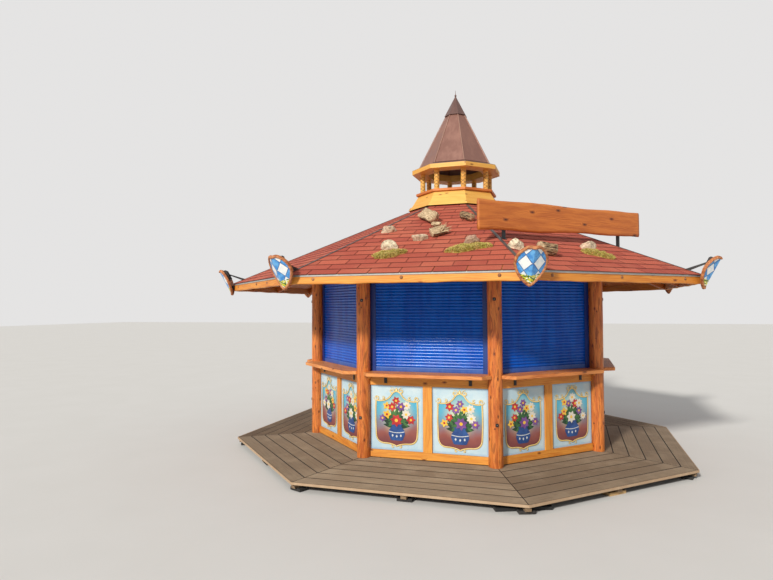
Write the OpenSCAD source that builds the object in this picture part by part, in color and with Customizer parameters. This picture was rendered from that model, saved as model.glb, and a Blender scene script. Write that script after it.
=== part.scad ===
// Eight-sided timber market hut on a raised deck.
// Logs stand on a sill ring, a panelled parapet and a roller shutter close each bay,
// and a shingled roof carries a small open lantern with a metal spire.
// The front bay faces -Y. Lengths are in millimetres, +Z is up, Z = 0 is the ground.

/* [Plan] */
// Radius of the circle that the post centres stand on
post_circle_r = 2050; // [1900:10:2300]
// Radius of the deck's outer corners
deck_r = 3183; // [3000:10:3400]
// Radius of the corners of the eave boards' outer faces
eave_r = 3240; // [3100:10:3400]

/* [Deck] */
// Height of the deck's top beside the posts, above the ground
deck_top = 155; // [140:5:220]
// Fall of the deck from the posts to its edge
deck_fall = 50; // [20:5:60]
// Thickness of the deck boards
deck_board_t = 25; // [20:1:32]
// Number of boards from the posts to the edge
deck_rows = 6; // [4:1:8]
// Width of the groove between two boards
board_gap = 6; // [3:1:10]
// Depth of the groove between two boards
groove_d = 5; // [3:1:8]
// Thickness of the strip along the deck's edge
deck_edge_t = 9; // [6:1:14]
// Width of a deck bearer
bearer_w = 60; // [45:5:90]
// Height of a deck bearer at its outer end
bearer_h = 45; // [35:1:48]
// Width of the pads under the bearers
pad_w = 160; // [100:10:220]
// Distance of the outer pads from the deck's edge
pad_inset = 120; // [100:5:160]
// Length of the beam under the deck's front right corner
pad_beam = 560; // [400:10:640]

/* [Floor] */
// Width of the sill beams
sill_w = 140; // [110:5:170]
// Thickness of the floor boards
floor_t = 25; // [20:1:32]
// Width of a floor joist
joist_w = 60; // [45:5:90]
// Height of a floor joist
joist_h = 100; // [80:5:110]

/* [Posts] */
// Diameter of a log post
post_d = 170; // [150:2:190]
// Height of the rounding at a log's foot
post_round = 14; // [8:1:20]

/* [Parapet] */
// Height of the painted panels' lower edge above the deck
panel_low = 92; // [70:1:120]
// Height of the painted panels' upper edge above the deck
panel_high = 855; // [780:5:900]
// Thickness of a painted panel
panel_t = 18; // [12:1:24]
// Depth of the panel's face behind the face of the frame
panel_setback = 20; // [10:1:26]
// Width of the middle stile
stile_w = 108; // [80:2:140]
// Thickness of the parapet frame
frame_t = 70; // [60:2:90]
// Gap under the bottom rail
rail_gap = 6; // [4:1:10]

/* [Counter] */
// Height of the counter's top above the deck
counter_top = 1015; // [980:5:1080]
// Thickness of the counter plank
counter_t = 41; // [35:1:50]
// Reach of the counter in front of the post centres
counter_reach = 223; // [190:1:260]
// Half length of the counter's front edge
counter_half = 668; // [600:2:700]
// Reach of the straight end before it is cut back
counter_cheek = 92; // [88:1:110]
// Height of the wooden cleats under a counter's ends
cleat_h = 60; // [45:1:80]
// Width of the wooden cleats
cleat_w = 28; // [20:1:40]
// Distance of a bracket from the middle of its bay
bracket_x = 505; // [420:5:560]
// Height of a counter bracket
bracket_h = 92; // [70:2:110]
// Thickness of the brackets' steel
bracket_t = 8; // [6:1:10]

/* [Shutter] */
// Pitch of the shutter slats
slat_pitch = 36; // [30:1:45]
// Depth of a slat's curve
slat_depth = 9; // [6:1:12]
// Thickness of a slat's skin
slat_t = 4; // [3:0.5:6]
// Height of the bar at the shutter's lower edge
bar_h = 52; // [40:1:70]
// Depth of the shutter behind the post centres
shutter_back = 60; // [50:1:80]
// Width of the solid back of a guide channel
guide_w = 46; // [30:1:60]
// Side of the box that holds the rolled curtain
roll_box = 190; // [170:5:220]

/* [Roof] */
// Pitch of the main roof in degrees
roof_pitch = 24; // [20:0.5:27]
// Height of the eave boards' upper outer edge above the deck
eave_top = 2122; // [2080:2:2160]
// Height of an eave board's outer face
fascia_h = 104; // [90:2:120]
// Thickness of an eave board
fascia_t = 40; // [30:1:50]
// Depth of the wane along the eave board's lower edge
wane = 8; // [4:1:14]
// Height of the wall plate
plate_h = 140; // [120:5:160]
// Width of the wall plate
plate_w = 140; // [120:5:160]
// Depth of the rafters, square to the slope
rafter_d = 120; // [100:5:140]
// Width of a hip rafter
hip_w = 80; // [60:2:100]
// Width of a common rafter
rafter_w = 60; // [50:2:80]
// Thickness of the roof boarding
boarding_t = 22; // [18:1:28]
// Thickness of the shingle covering
shingle_t = 10; // [8:1:14]
// Height of a shingle course, along the slope
course = 147; // [130:1:170]
// Step at the lower edge of each course
course_step = 4; // [2:0.5:6]
// Reach of the covering past the eave board
overhang = 14; // [8:1:24]
// Depth of the metal drip strip on the eave boards
drip_h = 20; // [14:1:30]
// Width of the metal strip on each side of a hip
hip_cap_w = 18; // [14:1:40]
// Thickness of the metal strips
hip_cap_t = 3; // [2:0.5:4]

/* [Lantern] */
// Radius of the lower corners of the lantern's skirt
skirt_low_r = 719; // [680:1:760]
// Radius of the upper corners of the lantern's skirt
skirt_top_r = 585; // [560:1:620]
// Height of the skirt from the shingles to the sill
skirt_h = 239; // [200:1:280]
// Thickness of the skirt's boards
skirt_t = 20; // [16:1:26]
// Gap between the shingles and the skirt
skirt_gap = 23; // [12:1:30]
// Width of the trim along the skirt's lower edge
trim_w = 52; // [40:1:70]
// Thickness of the trim
trim_t = 16; // [12:1:20]
// Radius of the corners of the lantern's sill
sill_r = 602; // [590:1:640]
// Thickness of the lantern's sill
lantern_sill_t = 36; // [28:1:44]
// Radius of the circle of the lantern's posts
lantern_post_r = 500; // [470:1:520]
// Diameter of a lantern post
lantern_post_d = 76; // [60:1:86]
// Height of the lantern's openings
lantern_open = 281; // [240:1:340]
// Radius of the corners of the ring over the openings
crown_r = 657; // [640:1:680]
// Height of the ring over the openings
crown_h = 59; // [50:1:80]
// Rise of the ring's sloped top from its outer face to the spire
ledge_rise = 39; // [25:1:50]
// Radius of the spire's foot at its corners
spire_r = 548; // [520:1:570]
// Height of the spire above its foot
spire_h = 1073; // [1000:1:1200]
// Thickness of the spire's boarded sheets
spire_t = 14; // [10:1:18]
// Height of the dark cap at the spire's tip
tip_h = 292; // [240:2:340]
// Height of the finial above the tip
finial_h = 105; // [80:1:140]

/* [Sign] */
// Length of the sign board
sign_l = 2457; // [2200:1:2600]
// Height of the sign board at its left end
sign_h = 335; // [290:1:360]
// Height that the board loses towards its right end
sign_taper = 33; // [10:1:50]
// Rise of the board's lower edge towards its right end
sign_rise = 45; // [20:1:60]
// Depth of the waves in the board's edges
sign_wave = 9; // [5:1:14]
// Thickness of the sign board
sign_t = 32; // [24:1:40]
// Distance of the sign board behind the eave
sign_in = 827; // [700:1:900]
// Gap between the shingles and the board's lower left corner
sign_gap = 94; // [60:2:120]
// Distance between the two posts behind the board
sign_post_span = 1760; // [1500:2:1900]
// Side of the square posts behind the board
sign_post_w = 30; // [24:1:50]
// Length of the plates under the posts, along the slope
sign_foot = 60; // [50:2:90]

/* [Shields] */
// Width of a corner shield, across its two halves
shield_w = 336; // [300:2:370]
// Height of a corner shield, measured along its face
shield_h = 396; // [360:2:420]
// Thickness of a shield's board
shield_t = 18; // [14:1:24]
// Lean of a shield out from upright in degrees
shield_lean = 28; // [22:1:32]
// Width of a shield's raised rim
rim_w = 30; // [20:1:34]
// Height of the rim above the shield's face
rim_t = 14; // [8:1:20]
// Thickness of the steel plate behind a shield
bracket_plate = 12; // [8:1:16]

/* [Lamps] */
// Width of the flat floodlights behind the shields
lamp_w = 150; // [120:2:180]
// Height of a floodlight
lamp_h = 150; // [120:2:180]
// Thickness of a floodlight
lamp_t = 36; // [26:1:46]
// Gap between a shield's fold and its floodlight
lamp_gap = 42; // [38:1:60]
// Number of cooling fins on a floodlight's back
lamp_fins = 5; // [3:1:7]
// Width of the arm that holds a floodlight
arm_w = 30; // [20:1:40]
// Thickness of the arm
arm_t = 12; // [8:1:16]

/* [Roof pieces] */
// Length of the field stones
stone_l = 220; // [160:2:260]
// Width of the field stones
stone_w = 150; // [120:2:190]
// Height of the field stones
stone_h = 105; // [70:1:130]
// Length of the moss cushions
moss_l = 400; // [300:5:480]
// Width of the moss cushions
moss_w = 170; // [120:5:220]
// Thickness of the moss cushions
moss_t = 36; // [18:1:44]
// Length of the bark log
log_l = 200; // [160:5:260]
// Diameter of the bark log
log_d = 130; // [100:2:160]
// Length of the splinters on the stump
splinter_l = 130; // [80:2:180]

/* [Hidden] */

sides = 8;
half = 180 / sides;
fit = 0.3;
mitre_gap = 0.6;
big = 9000;
ground = 0;

wall_ap = post_circle_r * cos(half);
deck_ap = deck_r * cos(half);
eave_ap = eave_r * cos(half);
post_r = post_d / 2;

deck_run = deck_ap - wall_ap;
deck_angle = atan(deck_fall / deck_run);
sill_top = deck_top - floor_t;
sill_out = wall_ap + sill_w / 2;
sill_in = wall_ap - sill_w / 2;

bearer_low = deck_top - deck_fall - deck_board_t - bearer_h;
bearer_setback = 30;
bearer_gap = 2;
floor_lap = 20;
floor_edge = wall_ap - floor_lap;
joist_share = 0.278;
board_row = deck_run / cos(deck_angle) / deck_rows;

// The upper face of the boarding passes through the eave boards' upper outer edges
eave_z = deck_top + eave_top;
function roof_z(ap) = eave_z + (eave_ap - ap) * tan(roof_pitch);
function rafter_z(ap) = roof_z(ap) - (boarding_t + fit) / cos(roof_pitch);
rafter_drop = rafter_d / cos(roof_pitch);
rafter_seat = 10;
plate_top = rafter_z(wall_ap) - rafter_drop + rafter_seat;
plate_low = plate_top - plate_h;

covering_t = fit + shingle_t;
skirt_low_ap = skirt_low_r * cos(half);
skirt_top_ap = skirt_top_r * cos(half);
skirt_foot = roof_z(skirt_low_ap) + covering_t / cos(roof_pitch) + skirt_gap;
curb_z = skirt_foot - skirt_gap + skirt_h;
skirt_lean = atan((curb_z - skirt_foot) / (skirt_low_ap - skirt_top_ap));
skirt_back = trim_t + skirt_t + 2 * fit;
curb_out = skirt_top_ap - skirt_back / sin(skirt_lean);
curb_t = 60;

lantern_floor = curb_z + lantern_sill_t;
lantern_in = lantern_post_r * cos(half) - lantern_post_d;
crown_low = lantern_floor + lantern_open;
crown_top = crown_low + crown_h;
spire_ap = spire_r * cos(half);
spire_angle = atan(spire_h / spire_ap);
ledge_t = 3;
spire_foot = crown_top + ledge_rise + ledge_t + 2 * fit;

// Repeats its children in every bay, the first one facing -Y
module bays() {
    for (i = [0 : sides - 1])
        rotate([0, 0, i * 2 * half])
            children();
}

// Repeats its children at every corner, drawn as if the corner lay on -Y
module corners() {
    for (i = [0 : sides - 1])
        rotate([0, 0, half + i * 2 * half])
            children();
}

// One side of an eight-sided ring, with mitred ends
module ring_side(out_ap, in_ap, low, high, gap = mitre_gap) {
    cut = gap / 2 / cos(half);
    translate([0, 0, low])
        linear_extrude(high - low)
            polygon([
                [-out_ap * tan(half) + cut, -out_ap],
                [out_ap * tan(half) - cut, -out_ap],
                [in_ap * tan(half) - cut, -in_ap],
                [-in_ap * tan(half) + cut, -in_ap]
            ]);
}

// One mitred side of a ring whose section is given as points of distance out and height
module ring_section(section, reach, gap = mitre_gap) {
    apex = gap / 2 / sin(half);
    intersection() {
        rotate([90, 0, 90])
            translate([0, 0, -reach])
                linear_extrude(2 * reach)
                    polygon([for (p = section) [-p[0], p[1]]]);
        linear_extrude(big)
            polygon([
                [0, -apex],
                [(2 * reach - apex) * tan(half), -2 * reach],
                [(apex - 2 * reach) * tan(half), -2 * reach]
            ]);
    }
}

// Points of a bowed line, without its last one; bulge is a share of its length
function bow(from, to, bulge, steps) = [
    for (i = [0 : steps - 1])
        let (t = i / steps, along = to - from)
        from + t * along + 4 * t * (1 - t) * bulge * [along[1], -along[0]]
];

// Turns its children from the flat onto the front roof slope:
// X runs along the eave, Y up the slope, Z out of the roof
module on_slope(ap, z, angle) {
    translate([0, -ap, z])
        rotate([angle, 0, 0])
            children();
}

// A mitred slab on a slope between two distances up the slope
module slope_slab(ap, angle, from, to, low, high, gap = mitre_gap) {
    cut = gap / 2 / cos(half);
    under = min(low, 0) * sin(angle);
    function half_w(v) = (ap - v * cos(angle) + under) * tan(half) - cut;
    translate([0, 0, low])
        linear_extrude(high - low)
            polygon([
                [-half_w(from), from],
                [half_w(from), from],
                [half_w(to), to],
                [-half_w(to), to]
            ]);
}

// Everything above the front roof slope, raised by lift
module above_slope(lift = 0) {
    on_slope(eave_ap, eave_z, roof_pitch)
        translate([-big / 2, -big / 2, lift])
            cube([big, big, big]);
}

// The roof at one corner, up to a height above its boards
module roof_body(lift) {
    difference() {
        translate([-big / 2, -big, -big / 2])
            cube([big, big, big]);
        for (turn = [-half, half])
            rotate([0, 0, turn])
                above_slope(lift);
    }
}

// A log post at each corner, cut out of the pieces that meet it
module post_cores(extra) {
    corners()
        translate([0, -post_circle_r, -10])
            cylinder(r = post_r + extra, h = big, $fn = 48);
}

// Two pads under one bearer
module pad_pair(out_at, in_at) {
    for (at = [out_at, in_at])
        translate([0, -at, ground])
            linear_extrude(bearer_low - ground - fit)
                square([pad_w, pad_w * 0.8], center = true);
}

// Pads on the ground that carry the bearers
module deck_pads() {
    color("dimgray") {
        corners()
            pad_pair(deck_r - pad_inset, post_circle_r + 2 * pad_inset);
        bays()
            pad_pair(deck_ap - pad_inset, wall_ap + 2 * pad_inset);
        rotate([0, 0, half])
            translate([0, pad_w / 2 + pad_inset - deck_r, ground])
                linear_extrude(bearer_low - ground - fit)
                    square([pad_beam, pad_w * 0.6], center = true);
    }
}

// Height of the deck's underside at an apothem
function deck_under(ap) = deck_top - deck_board_t - (ap - wall_ap) * tan(deck_angle);

// A bearer as seen from its side, from in_r to out_r
module bearer(in_r, out_r, share) {
    rotate([90, 0, 90])
        translate([0, 0, -bearer_w / 2])
            linear_extrude(bearer_w)
                polygon([
                    [-out_r, bearer_low],
                    [-in_r, bearer_low],
                    [-in_r, deck_under(in_r * share) - fit],
                    [-out_r, deck_under(out_r * share) - fit]
                ]);
}

// Bearers under every mitre and under the middle of every bay
module deck_bearers() {
    color("saddlebrown") {
        corners()
            bearer(sill_out / cos(half) + bearer_gap, deck_r - bearer_setback, cos(half));
        bays()
            bearer(sill_out + bearer_gap, deck_ap - bearer_setback, 1);
    }
}

// Mitred deck panels with a groove between the boards
module deck_panels() {
    from = deck_edge_t + fit;
    length = (deck_ap - floor_edge) / cos(deck_angle);
    color("#8a7a6a")
        difference() {
            bays()
                on_slope(deck_ap, deck_top - deck_fall, deck_angle)
                    difference() {
                        slope_slab(deck_ap, deck_angle, from, length, -deck_board_t, 0, board_gap);
                        for (i = [1 : deck_rows - 1])
                            translate([-big / 2, i * board_row - board_gap / 2, -groove_d])
                                cube([big, board_gap, deck_board_t]);
                    }
            post_cores(fit);
        }
}

// Pale strips that close the outer edge of the deck
module deck_edges() {
    color("burlywood")
        bays()
            ring_side(deck_ap, deck_ap - deck_edge_t, bearer_low + bearer_h - fit, deck_top - deck_fall);
}

// Beams on the ground that the posts stand on
module sill_beams() {
    color("peru")
        bays()
            difference() {
                ring_side(sill_out, sill_in, ground, sill_top);
                on_slope(deck_ap, deck_top - deck_fall, deck_angle)
                    translate([-big / 2, -big / 2, -deck_board_t - fit])
                        cube([big, big, big]);
            }
}

// Joists across the floor
module floor_joists() {
    reach = sill_in - fit;
    spacing = joist_share * reach;
    corner_x = reach * tan(half);
    color("peru")
        for (i = [-3 : 3])
            let (
                edge = abs(i) * spacing + joist_w / 2,
                length = reach - max(0, edge - corner_x)
            )
            translate([i * spacing - joist_w / 2, -length, sill_top - joist_h])
                cube([joist_w, 2 * length, joist_h - fit]);
}

// Boarded floor inside the posts
module floor_boards() {
    color("tan")
        difference() {
            translate([0, 0, sill_top])
                rotate([0, 0, half])
                    cylinder(r = (floor_edge - 1) / cos(half), h = floor_t, $fn = sides);
            post_cores(fit);
        }
}

// Log posts with rounded feet
module posts() {
    low = sill_top + fit;
    high = plate_low - fit;
    color("#b9682c")
        corners()
            translate([0, -post_circle_r, low])
                rotate_extrude($fn = 48)
                    polygon([
                        [0, 0],
                        [post_r - post_round * 0.6, 0],
                        [post_r - post_round * 0.2, post_round * 0.4],
                        [post_r, post_round],
                        [post_r, high - low - post_round],
                        [post_r - post_round * 0.6, high - low],
                        [0, high - low]
                    ]);
}

frame_out = wall_ap;
frame_in = wall_ap - frame_t;

// A rail between two posts, with its ends coped round the logs
module rail(low, high) {
    difference() {
        bays()
            ring_side(frame_out, frame_in, low, high);
        post_cores(fit);
    }
}

// Rails over the deck, under the painted panels
module bottom_rails() {
    color("#d79a4a")
        rail(deck_top + rail_gap, deck_top + panel_low);
}

// Rails under the counter
module top_rails() {
    color("#c98a3c")
        rail(deck_top + panel_high, deck_top + counter_top - counter_t - fit);
}

// Stile in the middle of each parapet
module middle_stiles() {
    color("#d79a4a")
        bays()
            translate([-stile_w / 2, -frame_out, deck_top + panel_low + fit])
                cube([stile_w, frame_t, panel_high - panel_low - 2 * fit]);
}

// Two painted boards in each parapet
module parapet_panels() {
    out_ap = frame_out - panel_setback;
    low = deck_top + panel_low + fit;
    high = deck_top + panel_high - fit;
    color("#8fc4de")
        difference() {
            bays()
                difference() {
                    ring_side(out_ap, out_ap - panel_t, low, high);
                    translate([-stile_w / 2 - fit, -big, 0])
                        cube([stile_w + 2 * fit, big, big]);
                }
            post_cores(fit);
        }
}

// Plank counter in each bay, with its ends cut back to the logs
module counters() {
    front = wall_ap + counter_reach;
    cheek = wall_ap + counter_cheek;
    corner_x = wall_ap * tan(half);
    cheek_in = 30;
    cheek_x = corner_x - cheek_in;
    color("#c98446")
        difference() {
            bays()
                translate([0, 0, deck_top + counter_top - counter_t])
                    linear_extrude(counter_t)
                        polygon([
                            [-counter_half, -front],
                            [counter_half, -front],
                            [cheek_x, -cheek],
                            [cheek_x, -wall_ap],
                            [frame_in * tan(half) - mitre_gap, -frame_in],
                            [mitre_gap - frame_in * tan(half), -frame_in],
                            [-cheek_x, -wall_ap],
                            [-cheek_x, -cheek]
                        ]);
            post_cores(fit);
        }
}

// Small wooden cleats under the counters, against the logs
module counter_cleats() {
    high = deck_top + counter_top - counter_t - fit;
    log_x = wall_ap * tan(half) - post_r;
    depth = 40;
    bite = 14;
    color("#e0b070")
        difference() {
            bays()
                for (side = [-1, 1])
                    mirror([side < 0 ? 1 : 0, 0, 0])
                        translate([log_x - cleat_w, -wall_ap - fit, high])
                            rotate([90, 0, 0])
                                linear_extrude(depth)
                                    polygon([[0, 0], [cleat_w + bite, -cleat_h], [cleat_w + bite, 0]]);
            post_cores(fit);
        }
}

// Steel angle brackets under the counters
module counter_brackets() {
    high = deck_top + counter_top - counter_t - fit;
    short = 45;
    reach = counter_reach - short;
    width = 36;
    root = bracket_t * 2.2;
    color("black")
        bays()
            for (side = [-1, 1])
                translate([side * bracket_x + width / 2, -wall_ap, high])
                    rotate([0, -90, 0])
                        linear_extrude(width)
                            polygon([
                                [0, -fit],
                                [-bracket_h, -fit],
                                [-bracket_h, -fit - bracket_t],
                                [-root, -fit - bracket_t],
                                [-bracket_t, -fit - root],
                                [-bracket_t, -reach],
                                [0, -reach]
                            ]);
}

curtain_low = deck_top + counter_top + 1;
curtain_high = plate_low - roll_box - fit;
curtain_face = wall_ap - shutter_back;
curtain_clear = 12;
curtain_half = curtain_face * tan(half) - post_r - curtain_clear;
bar_top = curtain_low + bar_h;
slats = floor((curtain_high - bar_top - fit) / slat_pitch);
slat_land = 0.12;

// Curved face of one slat as a share of its bulge, with a flat land at each joint
function slat_side(i, behind, steps) = [
    for (k = [0 : steps])
        let (t = k / steps)
        [behind - slat_depth * sin(180 * t), (i + slat_land / 2 + (1 - slat_land) * t) * slat_pitch]
];

// Roller shutter curtains made of curved slats
module shutter_curtains() {
    length = curtain_high - bar_top - fit;
    outer = [for (i = [0 : slats - 1]) each slat_side(i, 0, 5)];
    inner = [
        for (i = [slats - 1 : -1 : 0])
            let (side = slat_side(i, slat_t, 2))
            for (k = [2 : -1 : 0])
                side[k]
    ];
    color("#12509c")
        bays()
            translate([-curtain_half, -curtain_face, bar_top + fit])
                rotate([90, 0, 90])
                    linear_extrude(2 * curtain_half)
                        polygon(concat([[slat_t, 0], [0, 0]], outer, [[0, length], [slat_t, length]], inner));
}

// Bars with a rubber foot at the lower edge of the shutters
module shutter_bars() {
    foot = 10;
    color("#3c5a8c")
        bays()
            translate([-curtain_half, -curtain_face, curtain_low])
                rotate([90, 0, 90])
                    linear_extrude(2 * curtain_half)
                        polygon([
                            [slat_t, 0],
                            [slat_t, bar_h],
                            [-slat_depth * 0.6, bar_h],
                            [-slat_depth, bar_h * 0.85],
                            [-slat_depth, foot],
                            [-slat_depth * 0.5, foot],
                            [-slat_depth * 0.5, 0]
                        ]);
}

// Steel channels that guide the shutters, beside the posts
module shutter_guides() {
    lip = 20;
    wall = 4;
    outer = slat_depth + 1;
    inner = slat_t + 1;
    color("navy")
        difference() {
            bays()
                for (side = [-1, 1])
                    translate([side * (curtain_half + 1), -curtain_face, curtain_low])
                        mirror([side < 0 ? 1 : 0, 0, 0])
                            linear_extrude(curtain_high - curtain_low)
                                polygon([
                                    [-lip, -outer],
                                    [0, -outer],
                                    [0, inner],
                                    [-lip, inner],
                                    [-lip, inner + wall],
                                    [guide_w, inner + wall],
                                    [guide_w, -outer - wall],
                                    [-lip, -outer - wall]
                                ]);
            post_cores(fit);
        }
}

// Boxes for the rolled curtains, under the wall plates
module shutter_boxes() {
    lip = 14;
    end_gap = 4;
    front = curtain_face + slat_depth + lip;
    width = 2 * ((front - roll_box) * tan(half) - end_gap);
    color("#1b3f78")
        difference() {
            bays()
                translate([-width / 2, -front, plate_low - roll_box])
                    cube([width, roll_box, roll_box - fit]);
            post_cores(fit);
        }
}

// Beams on the posts that carry the rafters
module wall_plates() {
    color("peru")
        bays()
            ring_side(wall_ap + plate_w / 2, wall_ap - plate_w / 2, plate_low, plate_top);
}

tail_rise = 12;

// Side view of a rafter; share turns a radius into a distance square to the eave
module rafter_side(in_r, out_r, width, share) {
    rotate([90, 0, 90])
        translate([0, 0, -width / 2])
            linear_extrude(width)
                polygon([
                    [-out_r, rafter_z(out_r * share)],
                    [-in_r, rafter_z(in_r * share)],
                    [-in_r, rafter_z(in_r * share) - rafter_drop],
                    [-out_r, max(rafter_z(out_r * share) - rafter_drop, eave_z - fascia_h + tail_rise)]
                ]);
}

module plate_seat() {
    bays()
        ring_side(wall_ap + plate_w / 2 + fit, wall_ap - plate_w / 2 - fit, plate_low, plate_top + fit, 0);
}

// Room that a hip rafter's square end needs inside the eave boards
hip_end = hip_w / 2 * tan(half) + 2 * fit;

// Rafters along the hips, with their upper faces bevelled to both slopes
module hip_rafters() {
    in_r = (curb_out + fit) / cos(half);
    out_r = (eave_ap - fascia_t) / cos(half) - hip_end;
    color("peru")
        difference() {
            corners()
                difference() {
                    rafter_side(in_r, out_r, hip_w, cos(half));
                    for (turn = [-half, half])
                        rotate([0, 0, turn])
                            above_slope(-boarding_t - fit);
                }
            plate_seat();
        }
}

// One rafter in the middle of each bay
module common_rafters() {
    color("peru")
        difference() {
            bays()
                rafter_side(curb_out + fit, eave_ap - fascia_t - fit, rafter_w, 1);
            plate_seat();
        }
}

curb_clear = 40;
slope_len = (eave_ap - curb_out) / cos(roof_pitch) - curb_clear;
courses = ceil(slope_len / course);
fold_room = bracket_plate / 2 * tan(half) / cos(shield_lean) + 2 * fit;

// Everything below the stepped face of the covering, in the frame of the slope
module below_courses(lift = 0) {
    steps = [
        for (i = [0 : courses])
            each [
                [i * course - overhang, covering_t + lift],
                [(i + 1) * course - overhang, covering_t - course_step + lift]
            ]
    ];
    last = (courses + 1) * course - overhang;
    rotate([90, 0, 90])
        translate([0, 0, -big / 2])
            linear_extrude(big)
                polygon(concat([[-overhang, -big / 2]], steps, [[last, -big / 2]]));
}

// Boards over the rafters
module roof_boarding() {
    color("burlywood")
        bays()
            on_slope(eave_ap, eave_z, roof_pitch)
                slope_slab(eave_ap, roof_pitch, fascia_t / cos(roof_pitch) + fit, slope_len, -boarding_t, 0);
}

// Shingle covering, stepped at the lower edge of each course
module shingle_slopes() {
    color("#9c4a44")
        bays()
            on_slope(eave_ap, eave_z, roof_pitch)
                intersection() {
                    slope_slab(eave_ap, roof_pitch, -overhang, slope_len, fit, covering_t);
                    below_courses();
                }
}

// Board along each eave, with a natural waved lower edge
module eave_boards() {
    length = eave_ap * tan(half);
    steps = 24;
    past = 5;
    lower = [
        for (i = [0 : steps])
            let (x = -length + 2 * length * i / steps)
            [x, -fascia_h + wane * (0.5 + 0.5 * sin(i * 67) * cos(i * 23))]
    ];
    color("#c07a38")
        difference() {
            intersection() {
                bays()
                    ring_side(eave_ap, eave_ap - fascia_t, eave_z - fascia_h - wane, eave_z + fascia_t);
                bays()
                    translate([0, -eave_ap + fascia_t + past, eave_z])
                        rotate([90, 0, 0])
                            linear_extrude(fascia_t + 2 * past)
                                polygon(concat(lower, [[length, fascia_t], [-length, fascia_t]]));
            }
            bays()
                above_slope(-fit);
        }
}

// Folded metal strip along the eave, under the shingles
module drip_edges() {
    sheet = 3;
    in_ap = eave_ap + fit;
    out_ap = eave_ap + overhang * 0.6;
    low = eave_z - drip_h;
    section = [
        [in_ap, low],
        [out_ap, low],
        [out_ap, low + sheet],
        [in_ap + sheet, low + 2 * sheet],
        [in_ap + sheet, roof_z(in_ap + sheet) - fit],
        [in_ap, roof_z(in_ap) - fit]
    ];
    color("silver")
        bays()
            ring_section(section, eave_ap + overhang);
}

// Folded metal strips over the hips
module hip_caps() {
    length = (eave_ap - skirt_low_ap) / cos(roof_pitch) - hip_cap_t;
    past = 20;
    function hip_x(v) = (eave_ap - v * cos(roof_pitch)) * tan(half);
    color("#8d8a88")
        corners()
            for (side = [0, 1])
                mirror([side, 0, 0])
                    intersection() {
                        rotate([0, 0, half])
                            on_slope(eave_ap, eave_z, roof_pitch)
                                translate([0, 0, covering_t + fit])
                                    linear_extrude(hip_cap_t)
                                        polygon([
                                            [-hip_x(-overhang) - past, -overhang],
                                            [-hip_x(-overhang) + hip_cap_w, -overhang],
                                            [-hip_x(length) + hip_cap_w, length],
                                            [-hip_x(length) - past, length]
                                        ]);
                        translate([0, -big, 0])
                            cube([big, big, big]);
                    }
}

// Outline of one half of a shield from its tip to its top, drawn inset by a margin
function shield_line(inset) =
    let (
        tip = [0, 1.4 * inset],
        side = [shield_w / 2 - inset, shield_h * 0.52],
        notch = [shield_w * 0.27 - inset * 0.7, shield_h * 0.94 - inset * 0.8],
        top = [0, shield_h - inset]
    )
    concat(
        bow(tip, side, 0.11, 6),
        bow(side, notch, 0.127, 5),
        bow(notch, top, 0.14, 4),
        [top]
    );

shield_out = 6;
shield_drop = 50;
shield_tip_r = eave_r + shield_out;
shield_tip_z = eave_z - fascia_h - shield_drop;

// Puts its children on the fold of a shield: Z runs up the fold, -Y points out of it
module on_fold() {
    translate([0, -shield_tip_r, shield_tip_z])
        rotate([shield_lean, 0, 0])
            children();
}

// Steel plates that hold the shields on the eave corners
module shield_brackets() {
    margin = 10;
    low = eave_z - fascia_h + margin;
    high = eave_z - drip_h - fit;
    function back_r(z) = shield_tip_r + (z - shield_tip_z) * tan(shield_lean);
    color("dimgray")
        corners()
            rotate([90, 0, 90])
                translate([0, 0, -bracket_plate / 2])
                    linear_extrude(bracket_plate)
                        polygon([
                            [-eave_r - fit, low],
                            [fold_room - back_r(low), low],
                            [fold_room - back_r(high), high],
                            [-eave_r - fit, high]
                        ]);
}

// Folded shield with a raised rim at each eave corner, leaning out at its top
module corner_shields() {
    past = [-shield_t - rim_t, 0];
    function beyond(line) = concat([line[0] + past], line, [line[len(line) - 1] + past]);
    color("#3f6fb5")
        corners()
            on_fold()
                for (side = [0, 1])
                    mirror([side, 0, 0])
                        intersection() {
                            rotate([90, 0, half])
                                difference() {
                                    linear_extrude(shield_t + rim_t)
                                        polygon(beyond(shield_line(0)));
                                    translate([0, 0, shield_t])
                                        linear_extrude(shield_t)
                                            polygon(beyond(shield_line(rim_w)));
                                }
                            translate([0, -big / 2, -big / 2])
                                cube([big, big, big]);
                        }
}

// Flat floodlight with cooling fins behind each shield, on an arm that stands on the hip
module corner_lamps() {
    fin_t = 4;
    fin_d = 10;
    centre = shield_h * 0.72;
    front = lamp_gap / cos(half);
    pitch = (lamp_w - fin_t) / (lamp_fins - 1);
    function lamp_r(v, d) = shield_tip_r + v * sin(shield_lean) - d * cos(shield_lean);
    function lamp_z(v, d) = shield_tip_z + v * cos(shield_lean) + d * sin(shield_lean);
    top = [-lamp_r(centre, front + lamp_t - fin_d), lamp_z(centre, front + lamp_t - fin_d)];
    foot_in = 150;
    foot_r = eave_r - foot_in;
    foot = [-foot_r, roof_z(foot_r * cos(half))];
    color("black")
        corners()
            difference() {
                union() {
                    on_fold()
                        translate([-lamp_w / 2, front, centre - lamp_h / 2]) {
                            cube([lamp_w, lamp_t - fin_d, lamp_h]);
                            for (i = [0 : lamp_fins - 1])
                                translate([i * pitch, 0, fin_d])
                                    cube([fin_t, lamp_t, lamp_h - 2 * fin_d]);
                        }
                    rotate([90, 0, 90])
                        translate([0, 0, -arm_w / 2])
                            linear_extrude(arm_w)
                                polygon([
                                    top,
                                    top + [arm_t, arm_t],
                                    foot + [arm_t, arm_t],
                                    foot + [4 * arm_t, 0],
                                    foot - [arm_t, arm_t]
                                ]);
                }
                roof_body(covering_t + hip_cap_t + 2 * fit);
            }
}

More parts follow.
